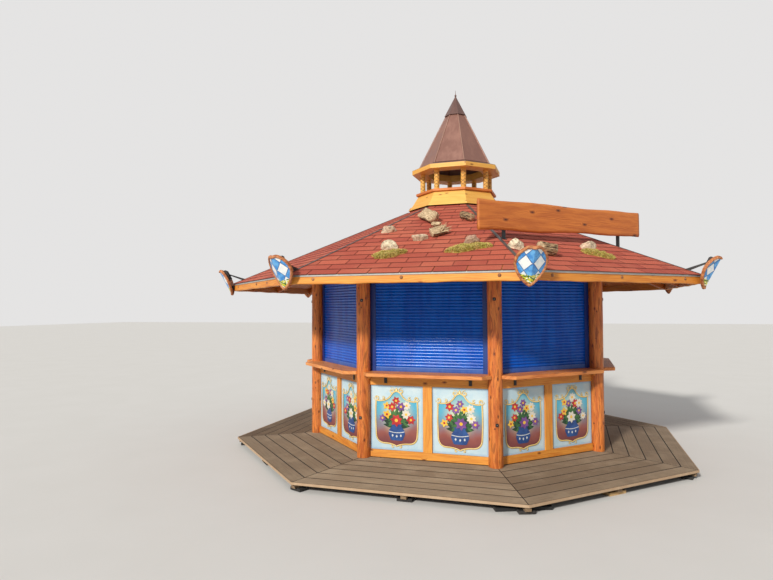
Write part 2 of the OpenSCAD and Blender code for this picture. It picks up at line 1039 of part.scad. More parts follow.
// Curb of beams that the rafters meet and the lantern stands on
module lantern_curb() {
    below = 30;
    low = rafter_z(curb_out) - rafter_drop - below;
    color("peru")
        bays()
            ring_side(curb_out, curb_out - curb_t, low, curb_z - fit);
}

// Point on the skirt: v up its slope, d behind the trim's outer face
function skirt_point(v, d) = [
    skirt_low_ap - v * cos(skirt_lean) - d * sin(skirt_lean),
    skirt_foot + v * sin(skirt_lean) - d * cos(skirt_lean)
];

// Leaning boards round the lantern's foot, with a trim along their lower edge
module lantern_skirt() {
    function low_v(d) = d / tan(skirt_lean - roof_pitch);
    function high_v(d) = (curb_z - fit - skirt_foot + d * cos(skirt_lean)) / sin(skirt_lean);
    face = trim_t + fit;
    back = face + skirt_t;
    boards = [
        skirt_point(low_v(face), face),
        skirt_point(high_v(face), face),
        skirt_point(high_v(back), back),
        skirt_point(low_v(back), back)
    ];
    trim = [
        skirt_point(0, 0),
        skirt_point(trim_w, 0),
        skirt_point(trim_w, trim_t),
        skirt_point(low_v(trim_t), trim_t)
    ];
    color("#c07a38")
        bays()
            for (section = [boards, trim])
                ring_section(section, skirt_low_r);
}

// Sill boards round the lantern, with their edges taken off
module lantern_sills() {
    out_ap = sill_r * cos(half);
    arris = 6;
    section = [
        [lantern_in, curb_z],
        [out_ap - arris, curb_z],
        [out_ap, curb_z + arris],
        [out_ap, lantern_floor - arris],
        [out_ap - arris, lantern_floor],
        [lantern_in, lantern_floor]
    ];
    color("#b97a3c")
        bays()
            ring_section(section, sill_r);
}

// Turned posts between the lantern's openings, each with a ring at half its height
module lantern_posts() {
    r = lantern_post_d / 2;
    neck = r - 8;
    ring = r - 1;
    ring_h = 6;
    high = lantern_open - 2 * fit;
    mid = high / 2;
    foot = 20;
    swell = 0.07;
    color("#c98446")
        corners()
            translate([0, -lantern_post_r, lantern_floor + fit])
                rotate_extrude($fn = 24)
                    polygon(concat(
                        [[0, 0], [r, 0], [r, foot]],
                        bow([neck, foot], [neck, mid - ring_h], swell, 6),
                        [[neck, mid - ring_h], [ring, mid - ring_h / 2], [ring, mid + ring_h / 2]],
                        bow([neck, mid + ring_h], [neck, high - foot], swell, 6),
                        [[neck, high - foot], [r, high - foot], [r, high], [0, high]]
                    ));
}

// Ring of boards over the lantern's openings, with a sloped top
module lantern_crown() {
    out_ap = crown_r * cos(half);
    section = [
        [lantern_in, crown_low],
        [out_ap, crown_low],
        [out_ap, crown_top],
        [spire_ap, crown_top + ledge_rise],
        [lantern_in, crown_top + ledge_rise]
    ];
    color("#c07a38")
        bays()
            ring_section(section, crown_r);
}

// Metal sheet over the ring's sloped top
module spire_deck() {
    out_ap = crown_r * cos(half);
    low = crown_top + fit;
    high = low + ledge_rise;
    section = [
        [lantern_in, high],
        [spire_ap, high],
        [out_ap, low],
        [out_ap, low + ledge_t],
        [spire_ap, high + ledge_t],
        [lantern_in, high + ledge_t]
    ];
    color("#5d4038")
        bays()
            ring_section(section, crown_r);
}

sheet_len = (spire_h - tip_h) / sin(spire_angle);

// Metal sheets of the spire
module spire_sheets() {
    color("#7d5b50")
        bays()
            on_slope(spire_ap, spire_foot, spire_angle)
                slope_slab(spire_ap, spire_angle, spire_t / tan(spire_angle), sheet_len, -spire_t, 0);
}

// Standing seams over the spire's hips
module spire_seams() {
    seam_w = 10;
    seam_d = 9;
    foot_r = spire_r + fit;
    top_r = spire_r * tip_h / spire_h + fit;
    top_z = spire_foot + spire_h - tip_h;
    color("#6b4c42")
        corners()
            rotate([90, 0, 90])
                translate([0, 0, -seam_w / 2])
                    linear_extrude(seam_w)
                        polygon([
                            [-foot_r, spire_foot],
                            [-foot_r - seam_d, spire_foot],
                            [-top_r - seam_d, top_z],
                            [-top_r, top_z]
                        ]);
}

finial_r = 14;

// Dark cap on the spire
module spire_tip() {
    flare = 20;
    low_r = spire_r * tip_h / spire_h + flare;
    color("#3f332f")
        translate([0, 0, spire_foot + spire_h - tip_h + fit])
            rotate([0, 0, half])
                cylinder(r1 = low_r, r2 = finial_r, h = tip_h, $fn = sides);
}

// Pointed finial with a small ball
module finial() {
    ball_z = 26;
    ball_r = 16;
    stem = 4;
    neck = 6;
    color("#2d2523")
        translate([0, 0, spire_foot + spire_h + 2 * fit])
            rotate_extrude($fn = 24)
                polygon(concat(
                    [[0, 0], [finial_r, 0]],
                    [for (a = [-60 : 20 : 70]) [ball_r * cos(a), ball_z + ball_r * sin(a)]],
                    [[stem, ball_z + ball_r + neck], [stem / 2, finial_h], [0, finial_h]]
                ));
}

sign_face = eave_ap - sign_in;
sign_z = roof_z(sign_face) + covering_t / cos(roof_pitch) + sign_gap;
sign_shift = 38;
sign_post_shift = 18;
sign_steps = 24;

// Edge of the sign board: height of its left end, rise to the right and phase of its waves
function sign_edge(high, rise, phase) = [
    for (i = [0 : sign_steps])
        let (t = i / sign_steps)
        [(t - 0.5) * sign_l, high + rise * t + sign_wave * sin(720 * t + phase) * sin(180 * t)]
];

// Bare board over the eave of the bay to the right of the front, with waved edges
module sign_board() {
    lower = sign_edge(0, sign_rise, 40);
    upper = sign_edge(sign_h, sign_rise - sign_taper, 200);
    color("#a9713c")
        rotate([0, 0, 2 * half])
            translate([sign_shift, -sign_face + sign_t, sign_z])
                rotate([90, 0, 0])
                    linear_extrude(sign_t)
                        polygon(concat(lower, [for (i = [sign_steps : -1 : 0]) upper[i]]));
}

// A point turned about the hut's axis
function turned(p, a) = [p[0] * cos(a) - p[1] * sin(a), p[0] * sin(a) + p[1] * cos(a)];

// Steel posts behind the sign board, on plates that lie on the shingles just past two hips
module sign_posts() {
    front = sign_face - sign_t - fit;
    high = sign_z + sign_h * 0.8;
    plate_t = 6;
    plate_lip = 7;
    plate_w = sign_post_w + 2 * plate_lip;
    color("#333333")
        for (number = [1, 2]) {
            x = (number - 1.5) * sign_post_span + sign_shift + sign_post_shift;
            place = turned([x, -front + sign_post_w / 2], (1 - number) * 2 * half);
            up = (eave_ap + place[1]) / cos(roof_pitch) + covering_t * tan(roof_pitch);
            difference() {
                union() {
                    rotate([0, 0, 2 * half])
                        translate([x - sign_post_w / 2, -front, roof_z(front)])
                            cube([sign_post_w, sign_post_w, high - roof_z(front)]);
                    rotate([0, 0, number * 2 * half])
                        on_slope(eave_ap, eave_z, roof_pitch)
                            translate([place[0] - plate_w / 2, up - sign_foot / 2, covering_t - course_step])
                                cube([plate_w, sign_foot, plate_t + course_step]);
                }
                rotate([0, 0, number * 2 * half])
                    on_slope(eave_ap, eave_z, roof_pitch)
                        below_courses(fit);
            }
        }
}

// Puts its children on the covering of bay number, with their undersides shaped to it;
// s and up are shares of the eave's half length and of the slope
module on_roof(number, s, up, turn = 0) {
    rotate([0, 0, number * 2 * half])
        on_slope(eave_ap, eave_z, roof_pitch)
            difference() {
                translate([s * eave_ap * tan(half), up * slope_len, covering_t - course_step])
                    rotate([0, 0, turn])
                        children();
                below_courses(fit);
            }
}

// Loose field stone with flat broken faces; long, wide and high are shares
module stone(long, wide, high, seed) {
    corner = 4;
    turns = rands(-12, 12, 12, seed);
    shares = [0.94, 1, 0.6];
    hull()
        for (i = [0 : 11])
            let (a = i * 30 + turns[i], level = i % 3)
            translate([
                long * stone_l / 2 * cos(a) * shares[level] - corner / 2,
                wide * stone_w / 2 * sin(a) * shares[level] - corner / 2,
                high * stone_h * level / 2
            ])
                cube([corner, corner, corner]);
}

// Field stones lying on the roof
module roof_stones() {
    color("#9a948c") {
        on_roof(0, -0.41, 0.53) stone(0.96, 0.87, 0.62, 1);
        on_roof(0, -0.257, 0.28) stone(1.02, 1, 0.95, 2);
        on_roof(0, 0.476, 0.325) stone(0.82, 0.87, 0.76, 3);
        on_roof(0, -0.03, 0.39) stone(0.91, 0.73, 0.62, 4);
        on_roof(1, -0.73, 0.239, -27) stone(0.82, 0.93, 0.95, 5);
        on_roof(1, 0.178, 0.272, -27) stone(0.82, 1, 1, 6);
    }
}

// Cushion of moss with a lobed outline and a stepped back; long and wide are shares
module moss(long, wide, seed) {
    bumps = rands(0.85, 1.08, 16, seed);
    for (layer = [0 : 1])
        let (share = 0.5 - 0.08 * layer)
        linear_extrude(moss_t * (layer + 1) / 2)
            polygon([
                for (i = [0 : 15])
                    let (a = i * 22.5)
                    share * bumps[i] * [long * moss_l * cos(a), wide * moss_w * sin(a)]
            ]);
}

// Cushions of moss below three of the stones
module roof_moss() {
    color("#7c8040") {
        on_roof(0, -0.208, 0.186, 26) moss(0.9, 1, 7);
        on_roof(0, 0.464, 0.23, 18) moss(1.25, 0.9, 8);
        on_roof(1, 0.135, 0.19, -38) moss(0.9, 1, 9);
    }
}

// Straight log lying on its side, along its X axis
module log(length, diameter) {
    translate([-length / 2, 0, diameter / 2])
        rotate([0, 90, 0])
            cylinder(d = diameter, h = length, $fn = 32);
}

// Log split along its length, with the split face leaning over to one side
module split_log(length, diameter, lean) {
    difference() {
        log(length, diameter);
        translate([0, 0, diameter * 0.58])
            rotate([lean, 0, 0])
                translate([-length, -diameter, 0])
                    cube([2 * length, 2 * diameter, diameter]);
    }
}

// Split stump with splinters at its torn end
module stump(length, diameter) {
    thick = diameter / 5;
    split_log(length, diameter, 24);
    for (turn = [-22, 8, 30])
        translate([length / 2 - thick, 0, diameter * 0.4])
            rotate([0, 90, turn])
                cylinder(r1 = thick, r2 = thick / 6, h = splinter_l - 2 * abs(turn), $fn = 16);
}

// Logs and driftwood lying on the roof
module roof_logs() {
    color("#8a6f58") {
        on_roof(0, -0.089, 0.684, -53) split_log(1.65 * log_l, 1.05 * log_d, -22);
        on_roof(0, 0.133, 0.44, 40) stump(log_l, log_d);
        on_roof(0, 0.32, 0.665, -48) log(1.15 * log_l, 0.77 * log_d);
        on_roof(1, -0.521, 0.174, -25) log(log_l, log_d);
    }
}

deck_pads();
deck_bearers();
deck_panels();
deck_edges();
sill_beams();
floor_joists();
floor_boards();
posts();
bottom_rails();
top_rails();
middle_stiles();
parapet_panels();
counters();
counter_brackets();
counter_cleats();
shutter_curtains();
shutter_bars();
shutter_guides();
shutter_boxes();
wall_plates();
hip_rafters();
common_rafters();
roof_boarding();
shingle_slopes();
eave_boards();
drip_edges();
hip_caps();
corner_shields();
shield_brackets();
corner_lamps();
lantern_curb();
lantern_skirt();
lantern_sills();
lantern_posts();
lantern_crown();
spire_deck();
spire_sheets();
spire_seams();
spire_tip();
finial();
sign_board();
sign_posts();
roof_stones();
roof_moss();
roof_logs();
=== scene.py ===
# %% [markdown]
# # A wooden market hut
# This lesson dresses an eight-sided market hut. The solids come from CAD and hold all the
# sizes. Blender adds what CAD is poor at: grain, paint, wear, rope carving, shingle tabs,
# bark and moss. Pieces whose CAD shape is right keep it and only get a finish. Pieces that
# need a finer shape are made here as meshes, and stand for the CAD piece they cover.

# %% Load the frame
import math
import random
import bpy
from mathutils import Matrix, Vector, noise


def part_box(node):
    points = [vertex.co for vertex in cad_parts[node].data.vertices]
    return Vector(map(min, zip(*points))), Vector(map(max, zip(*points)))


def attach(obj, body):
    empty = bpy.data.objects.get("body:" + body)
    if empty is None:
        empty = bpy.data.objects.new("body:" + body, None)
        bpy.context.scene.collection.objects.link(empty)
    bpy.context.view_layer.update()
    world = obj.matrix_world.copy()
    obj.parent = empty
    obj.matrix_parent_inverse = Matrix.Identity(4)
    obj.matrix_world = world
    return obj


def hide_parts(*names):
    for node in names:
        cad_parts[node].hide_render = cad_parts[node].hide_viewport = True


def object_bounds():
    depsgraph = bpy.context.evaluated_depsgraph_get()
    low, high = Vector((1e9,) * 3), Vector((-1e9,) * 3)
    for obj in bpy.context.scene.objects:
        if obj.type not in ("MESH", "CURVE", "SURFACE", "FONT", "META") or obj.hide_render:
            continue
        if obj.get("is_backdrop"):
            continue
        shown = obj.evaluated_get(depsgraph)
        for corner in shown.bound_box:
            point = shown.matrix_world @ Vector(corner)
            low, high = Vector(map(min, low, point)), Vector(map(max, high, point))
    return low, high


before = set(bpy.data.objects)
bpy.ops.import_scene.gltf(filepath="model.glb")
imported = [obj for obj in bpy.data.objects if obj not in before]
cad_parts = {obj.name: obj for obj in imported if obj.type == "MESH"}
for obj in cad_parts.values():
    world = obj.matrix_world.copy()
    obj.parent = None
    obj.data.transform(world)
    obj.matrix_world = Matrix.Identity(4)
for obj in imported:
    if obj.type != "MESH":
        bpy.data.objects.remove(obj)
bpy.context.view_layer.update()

# %% [markdown]
# ## The camera
# The camera stands at eye height, a little to the right of the front, and is tilted up by
# less than two degrees. Its lens is a short wide angle, which makes the deck's front corner
# large. The three turns are applied in the order a tripod has them: heading first, then
# tilt, then a slight roll.

# %% Place the camera
EYE = Vector((1.6254, -8.4776, 1.9360))
HEADING = math.radians(17.81)
TILT = math.radians(1.70)
ROLL = -0.0053
LENS, SENSOR = 27.01, 36.0   # millimetres


def shift(x, y, z):
    """A move along the three axes."""
    return Matrix.Translation((x, y, z))


def spin(angle, axis="Z"):
    """A turn round one axis."""
    return Matrix.Rotation(angle, 4, axis)


def put(name, data):
    """An object of this name, linked into the scene."""
    made = bpy.data.objects.new(name, data)
    bpy.context.scene.collection.objects.link(made)
    return made


camera = put("camera", bpy.data.cameras.new("camera"))
camera.data.lens = LENS
camera.data.sensor_width = SENSOR
camera.matrix_world = shift(*EYE) @ spin(HEADING) @ spin(math.pi / 2 + TILT, "X") @ spin(ROLL)
bpy.context.scene.camera = camera
print("camera at", tuple(round(v, 2) for v in EYE))

# %% [markdown]
# ## Sizes shared by all pieces
# The hut is eight equal bays round an upright axis. The front bay faces the negative Y axis,
# and bay number k is the front bay turned by 45 degrees times k. So a piece is drawn once, in
# the front bay, and turned into place. An apothem is the distance from the axis square to a
# side; it is what rails, eaves and boards need, while posts stand on the corner radius. Half
# the length of a side is its apothem times one fixed number, called FLARE here.

# %% Sizes and turns
BAYS = 8
ROUND = 2 * math.pi
HALF = math.pi / BAYS
FLARE = math.tan(HALF)
POST_RING, POST_R = 2.050, 0.085
DECK_R, DECK_TOP = 3.183, 0.155
EAVE_R, EAVE_Z = 3.240, DECK_TOP + 2.122
WALL = POST_RING * math.cos(HALF)
DECK_EDGE = DECK_R * math.cos(HALF)
EAVE = EAVE_R * math.cos(HALF)
PITCH = math.radians(24)
UPRIGHT = spin(math.pi / 2, "X")


def bay_turn(bay):
    """Turns a piece drawn in the front bay into bay number bay; halves mean corners."""
    return spin(2 * HALF * bay)


def slope_place(bay, apothem, height, angle):
    """Lays a flat drawing on a slope: X along the eave, Y up the slope, Z out of it."""
    return bay_turn(bay) @ shift(0, -apothem, height) @ spin(angle, "X")


def roof_place(bay):
    """The roof boards' plane of one bay."""
    return slope_place(bay, EAVE, EAVE_Z, PITCH)


def wall_place(bay, x, apothem, height):
    """Stands a flat drawing up in a bay, so that its Z points away from the hut."""
    return bay_turn(bay) @ shift(x, -apothem, height) @ UPRIGHT


def corner_place(corner, ring, height=0.0):
    """A place on the corner between two bays, with negative Y pointing out."""
    return bay_turn(corner + 0.5) @ shift(0, -ring, height)


print("walls stand", round(WALL, 3), "m from the axis, eaves", round(EAVE, 3), "m")

# %% [markdown]
# ## Gathering small parts into one mesh
# A roof has hundreds of shingles and a deck dozens of boards. One object for each would be
# slow and hard to keep, so the small parts of a kind are gathered into one mesh. Every part
# keeps two facts for its finish: a random tone, so that no two boards are the same colour,
# and the place of each corner on the part before it was turned, so that grain always runs
# along the board, however it lies on the hut. Nearly all the parts are tubes: a row of rings
# with the same number of points, skinned and capped.

# %% Tubes
def tube(rings):
    """Corners and faces that skin a row of rings, with both ends capped."""
    n, last = len(rings[0]), len(rings) - 1
    faces = [[j * n + i, j * n + (i + 1) % n, (j + 1) * n + (i + 1) % n, (j + 1) * n + i]
             for j in range(last) for i in range(n)]
    caps = [list(range(n - 1, -1, -1)), list(range(last * n, (last + 1) * n))]
    return [c for ring in rings for c in ring], faces + caps


def turned(profile, count):
    """Rings of a round piece, from pairs of radius and height."""
    angles = [ROUND * i / count for i in range(count)]
    return [[(r * math.cos(a), r * math.sin(a), z) for a in angles] for r, z in profile]


print("a tube of two squares has", len(tube(turned(((1, 0), (1, 1)), 4))[1]), "faces")

# %% [markdown]
# The pile itself is a class. It could be a few loose lists, but then each piece would have
# to keep them in step. Its random numbers start from a seed of its own, so that every run
# gives the same hut.

# %% A pile of parts
class Pile:
    """Gathers corners and faces of many small parts, then makes one object of them."""

    def __init__(self, seed, spread=9.0):
        self.chance = random.Random(seed)
        self.spread = spread
        self.corners, self.faces = [], []
        self.grain, self.tone, self.coat = [], [], []

    def add(self, corners, faces, place, grain=None, tone=None, coat=0):
        """Adds one part, turned into its place on the hut."""
        start = len(self.corners)
        offset = self.spread * Vector((self.chance.random(), self.chance.random(), 0))
        tone = self.chance.random() if tone is None else tone
        self.corners += [place @ Vector(c) for c in corners]
        self.grain += [Vector(g) + offset for g in (grain or corners)]
        self.tone += [tone] * len(corners)
        self.faces += [[start + i for i in f] for f in faces]
        self.coat += [coat] * len(faces)

    def skin(self, rings, place, **more):
        """Adds a tube. Returns the number of its first face, and its faces."""
        start = len(self.faces)
        corners, faces = tube(rings)
        self.add(corners, faces, place, **more)
        return start, faces

    def recoat(self, start, which):
        """Gives some faces, counted from start, the second coat."""
        for k in which:
            self.coat[start + k] = 1

    def make(self, name, coats, smooth=False, crease=None):
        """Makes the object. crease is the angle in degrees above which an edge stays sharp."""
        mesh = bpy.data.meshes.new(name)
        mesh.from_pydata(self.corners, [], self.faces)
        grain = mesh.attributes.new("grain", "FLOAT_VECTOR", "POINT")
        grain.data.foreach_set("vector", [v for g in self.grain for v in g])
        tone = mesh.attributes.new("tone", "FLOAT", "POINT")
        tone.data.foreach_set("value", self.tone)
        for coat in coats:
            mesh.materials.append(coat)
        mesh.polygons.foreach_set("material_index", self.coat)
        mesh.polygons.foreach_set("use_smooth", [smooth] * len(self.faces))
        mesh.update()
        if crease:
            mesh.set_sharp_from_angle(angle=math.radians(crease))
        piece = put(name, mesh)
        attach(piece, "root")
        print(name, "has", len(self.faces), "faces")
        return piece


print("a new pile has", len(Pile(seed=0).faces), "faces")

# %% [markdown]
# ## Small tools for finishes
# Each finish is a node material. The nodes are made by short helpers that name the inputs
# they set, so a finish reads like a recipe. Colours are written as they look on a screen,
# from 0 to 255, and turned into the linear values that light works with. Most recipes do one
# thing again and again: they lay a colour over another where some field, such as noise, rises
# from a low value to a high one. That step is called cover.

# %% Nodes of any tree
class Nodes:
    """A node tree under way: makes nodes and joins them."""

    def __init__(self, tree):
        self.nodes, self.links = tree.nodes, tree.links

    def feed(self, value, socket):
        """Links another node's output to a socket, or sets the socket to a constant."""
        if isinstance(value, bpy.types.NodeSocket):
            self.links.new(value, socket)
        else:
            socket.default_value = value

    def node(self, kind, settings=None, **inputs):
        """A new node. Inputs go by their names, with _ for a space."""
        made = self.nodes.new("ShaderNode" + kind)
        for key, value in (settings or {}).items():
            setattr(made, key, value)
        for key, value in inputs.items():
            self.feed(value, made.inputs[key.replace("_", " ")])
        return made

    def calc(self, operation, *values):
        """One step of arithmetic."""
        made = self.node("Math", {"operation": operation})
        for socket, value in zip(made.inputs, values):
            self.feed(value, socket)
        return made.outputs[0]

    def plus(self, first, second):
        return self.calc("ADD", first, second)

    def minus(self, first, second):
        return self.calc("SUBTRACT", first, second)

    def times(self, first, second):
        return self.calc("MULTIPLY", first, second)

    def over(self, first, second):
        return self.calc("DIVIDE", first, second)

    def size(self, value):
        return self.calc("ABSOLUTE", value)

    def parts(self, vector):
        """The X, Y and Z of a place or a colour."""
        return self.node("SeparateXYZ", Vector=vector).outputs

    def join(self, x, y, z=0.0):
        """A place from its X, Y and Z."""
        return self.node("CombineXYZ", X=x, Y=y, Z=z).outputs[0]

    def here(self):
        """The place on the hut."""
        return self.node("TexCoord").outputs["Object"]


print("node helpers:", ", ".join(name for name in vars(Nodes) if not name.startswith("_")))

# %% [markdown]
# A material adds a shader and its inputs to those nodes. Recipe knows the inputs that a
# finish of this hut sets: colour, roughness and bumps. The screen curve in paint is the
# standard one, with a short straight piece near black.

# %% Colours and materials
def paint(*screen):
    """A screen colour as linear light."""
    shares = [v / 255 for v in screen]
    return tuple(v / 12.92 if v <= 0.04045 else ((v + 0.055) / 1.055) ** 2.4 for v in shares) + (1.0,)


class Recipe(Nodes):
    """A material under way, which ends on its shader."""

    def __init__(self, name, rough=0.6, metal=0.0):
        self.material = bpy.data.materials.new(name)
        self.material.use_nodes = True
        super().__init__(self.material.node_tree)
        self.shader = self.nodes["Principled BSDF"].inputs
        self.shader["Roughness"].default_value = rough
        self.shader["Metallic"].default_value = metal

    def step(self, value, low, high, into=(0.0, 1.0)):
        """Spreads value from low..high over another range, eased and clamped."""
        made = self.node("MapRange", {"interpolation_type": "SMOOTHSTEP"})
        for socket, number in zip(made.inputs, (value, low, high, *into)):
            self.feed(number, socket)
        return made.outputs[0]

    def mix(self, share, first, second):
        """The first colour at share 0, the second at 1."""
        made = self.node("Mix", {"data_type": "RGBA"})
        self.feed(share, made.inputs[0])
        self.feed(first, made.inputs[6])
        self.feed(second, made.inputs[7])
        return made.outputs[2]

    def cover(self, base, colour, value, low, high, into=(0.0, 1.0)):
        """Lays a colour over a base, by how far value has come from low to high."""
        return self.mix(self.step(value, low, high, into), base, colour)

    def stretch(self, place, scale):
        """A place with each axis scaled on its own."""
        made = self.node("VectorMath", {"operation": "MULTIPLY"})
        self.feed(place, made.inputs[0])
        self.feed(scale, made.inputs[1])
        return made.outputs[0]

    def noise(self, place, scale, detail=3.0, rough=0.55):
        """A cloudy field. Three scales in place of one draw it out into streaks."""
        if isinstance(scale, tuple):
            place = self.stretch(place, scale)
            scale = 1.0
        made = self.node("TexNoise", Vector=place, Scale=scale, Detail=detail, Roughness=rough)
        return made.outputs["Fac"]

    def on_part(self):
        """The place on the part, before it was turned."""
        return self.node("Attribute", {"attribute_name": "grain"}).outputs["Vector"]

    def tone(self):
        """The part's own tone, from 0 to 1: random, or given with the part; on the eave boards it holds
        painted light.
        """
        return self.node("Attribute", {"attribute_name": "tone"}).outputs["Fac"]

    def colour(self, value):
        self.feed(value, self.shader["Base Color"])

    def roughness(self, value, low, high, into):
        self.feed(self.step(value, low, high, into), self.shader["Roughness"])

    def bumps(self, *heights):
        """Height fields with their depth in millimetres, one over another."""
        last = None
        for height, depth in heights:
            bump = self.node("Bump", Height=height, Strength=1.0, Distance=depth / 1000)
            if last:
                self.links.new(last, bump.inputs["Normal"])
            last = bump.outputs["Normal"]
        self.links.new(last, self.shader["Normal"])


print("white reads as", paint(255, 255, 255))

# %% [markdown]
# The painted shade on the sides of shingle tabs and deck boards, the knot eyes and the floor
# need no more than two close tones, so one short function serves them all.

# %% Plain two-tone finish
def two_tone(name, rough, scale, first, second, depth=0.0):
    """A plain finish: noise between two colours, and on request the same noise as bumps."""
    made = Recipe(name, rough)
    cloud = made.noise(made.here(), scale)
    made.colour(made.mix(cloud, paint(*first), paint(*second)))
    if depth:
        made.bumps((cloud, depth))
    return made.material


print("a mid grey reads as", round(paint(128, 128, 128)[0], 3))

# %% [markdown]
# ## Grain that follows the bays
# A CAD ring of eight mitred rails is one mesh, and its grain must turn with each rail. So the
# finish works out which bay a point is in from its angle round the axis, and turns the point
# back into the front bay. There X runs along the rail, Y in towards the axis and Z up. One
# node group does this for all finishes. It also gives the bay's number, from 0 to 7, so that
# each bay's board can have a tone of its own. That tone is partly random, as timber is, and
# partly painted light: the front bay is painted palest, as if in sun, and the others darker,
# as if in shade.

# %% The bay place group
BAY_SHIFT = 7.3   # metres along the grain between two bays' boards

bay_place = bpy.data.node_groups.new("bay_place", "ShaderNodeTree")
for output, kind in (("Place", "NodeSocketVector"), ("Number", "NodeSocketFloat")):
    bay_place.interface.new_socket(output, in_out="OUTPUT", socket_type=kind)
bays = Nodes(bay_place)
point = bays.here()
x, y, z = bays.parts(point)
round_axis = bays.calc("ARCTAN2", x, bays.times(y, -1.0))
number = bays.calc("FLOORED_MODULO", bays.calc("ROUND", bays.over(round_axis, 2 * HALF)), float(BAYS))
turned_back = bays.node("VectorRotate", {"rotation_type": "Z_AXIS"},
                        Vector=point, Angle=bays.times(number, -2 * HALF))
x, y, z = bays.parts(turned_back.outputs[0])
group_output = bay_place.nodes.new("NodeGroupOutput")
bays.feed(bays.join(bays.plus(x, bays.times(number, BAY_SHIFT)), y, z), group_output.inputs["Place"])
bays.feed(number, group_output.inputs["Number"])


def bay_group(recipe):
    """The two outputs of the group: the place and the bay's number."""
    return recipe.node("Group", {"node_tree": bay_place}).outputs


def in_bay(recipe, order):
    """The place in the front bay, with its axes in another order."""
    place = bay_group(recipe)["Place"]
    if order == "XYZ":
        return place
    axes = dict(zip("XYZ", recipe.parts(place)))
    return recipe.join(*(axes[axis] for axis in order))


def bay_tone_and_light(recipe):
    """A tone for each bay's board: partly random, as timber is, and partly painted light, with the front
    bay palest and the others shaded darker.
    """
    number = bay_group(recipe)["Number"]
    drawn = recipe.node("TexWhiteNoise", {"noise_dimensions": "1D"}, W=number).outputs["Value"]
    # Painted shade: every bay but the front is made darker, and the front stays palest as if in sun.
    off_front = recipe.calc("MINIMUM", number, 1.0)
    darker = recipe.times(off_front, recipe.calc("MULTIPLY_ADD", drawn, 0.35, 0.5))
    return recipe.minus(0.95, darker)


print("bay place made of", len(bay_place.nodes), "nodes")

# %% [markdown]
# ## Stained timber
# Nearly all the visible timber is spruce with a glossy orange stain. Three things make it look
# like wood: wide flames from the growth rings, fine fibres along the board, and dark knots
# with a ring round each. The figure comes from wave bands that noise has bent, the fibres
# from noise stretched some forty times along the grain, and the knots from widely spread
# cells. The stain gathers in the soft wood, so the bands change the colour and not only the
# height. Logs also keep dark strips of bast, the inner bark.

# %% Timber finish
GRAIN_ORDER = {"along": "XYZ", "up": "ZXY", "out": "YXZ"}
KNOTLESS = 0.60      # the share of cells without a knot
SHARE_MIDDLE = 0.58  # the middle value of the summed figure


def timber(name, stain, way="part", ring=22.0, knots=3.2, rough=0.5, wear=0.15,
           figure=0.60, bast=0.0, own=0.3):
    """Stained wood. ring and knots say how close bands and knots lie, figure how soft the
    flames are, wear how much is scuffed, bast how dark the strips of inner bark are, and own
    the share of the board's tone, which on bay-placed timber also holds painted light."""
    pale, deep, knot = stain
    wood = Recipe(name, rough)
    x, y, z = wood.parts(wood.on_part() if way == "part" else in_bay(wood, GRAIN_ORDER[way]))
    across = wood.plus(y, z)
    flat = wood.join(x, across)
    bent = wood.join(x, wood.plus(across, wood.times(wood.noise(flat, (1.1, 5, 1), 2.0), 0.16)))

    cells = wood.node("TexVoronoi", {"voronoi_dimensions": "2D"},
                      Vector=wood.stretch(flat, (knots, knots * 2.1, 1)), Scale=1.0, Randomness=1.0)
    drawn = wood.parts(cells.outputs["Color"])["X"]
    knotless = wood.step(drawn, KNOTLESS, KNOTLESS + 0.01, (1.0, 0.0))
    near = wood.plus(cells.outputs["Distance"], knotless)
    swirl = wood.step(near, 0.0, 0.22, (0.5, 0.0))

    bands = wood.node("TexWave", {"wave_type": "BANDS", "bands_direction": "Y"},
                      Vector=wood.stretch(bent, (0.06, 1, 1)), Scale=ring, Distortion=1.2,
                      Detail=2.0, Detail_Scale=1.5, Phase_Offset=wood.times(swirl, 20.0)).outputs["Fac"]
    fibre = wood.noise(flat, (7, 260, 1), 4.0, 0.6)
    cloud = wood.noise(flat, (1.3, 4.5, 1), 2.0)
    flame = wood.step(wood.noise(bent, (2.6, 24, 1), 4.0, 0.6), 0.34, 0.66)
    share = 0.0
    for part, weight in ((bands, 0.28), (fibre, 0.30), (flame, 0.34), (cloud, 0.28)):
        share = wood.calc("MULTIPLY_ADD", part, weight, share)

    body = wood.cover(deep, pale, share, SHARE_MIDDLE - figure / 2, SHARE_MIDDLE + figure / 2)
    # On bay-placed timber this tone also holds painted light: the front bay palest, the others shaded.
    board = wood.tone() if way == "part" else bay_tone_and_light(wood)
    body = wood.mix(own, body, wood.mix(board, deep, pale))
    if bast:
        body = wood.cover(body, knot, wood.noise(bent, (5.0, 42, 1), 4.0, 0.62), 0.50, 0.62, (0.0, bast))
    ringed = wood.cover(body, knot, near, 0.05, 0.13, (0.75, 0.0))
    heart = tuple(v * 0.45 for v in knot[:3]) + (1.0,)
    whole = wood.cover(ringed, heart, near, 0.028, 0.04, (1.0, 0.0))
    wood.colour(wood.cover(whole, pale, wood.noise(flat, 23.0, 5.0, 0.7), 0.66, 0.74, (0.0, wear)))
    wood.roughness(fibre, 0.2, 0.8, (rough - 0.07, rough + 0.13))
    wood.bumps((bands, 0.5), (fibre, 0.5), (wood.step(near, 0.0, 0.05), 1.2))
    return wood.material


def stain(*tones):
    """The pale wood, the deep wood and the knots of one stain."""
    return tuple(paint(*tone) for tone in tones)


HONEY = stain((238, 166, 68), (196, 110, 34), (132, 62, 20))
AMBER = stain((226, 138, 60), (170, 80, 28), (104, 46, 16))
STRAW = stain((240, 194, 98), (212, 146, 58), (146, 84, 32))
RAW = stain((150, 126, 98), (104, 82, 60), (66, 50, 36))
print("the timber has four stains, such as honey", [round(v, 2) for v in HONEY[0][:3]])

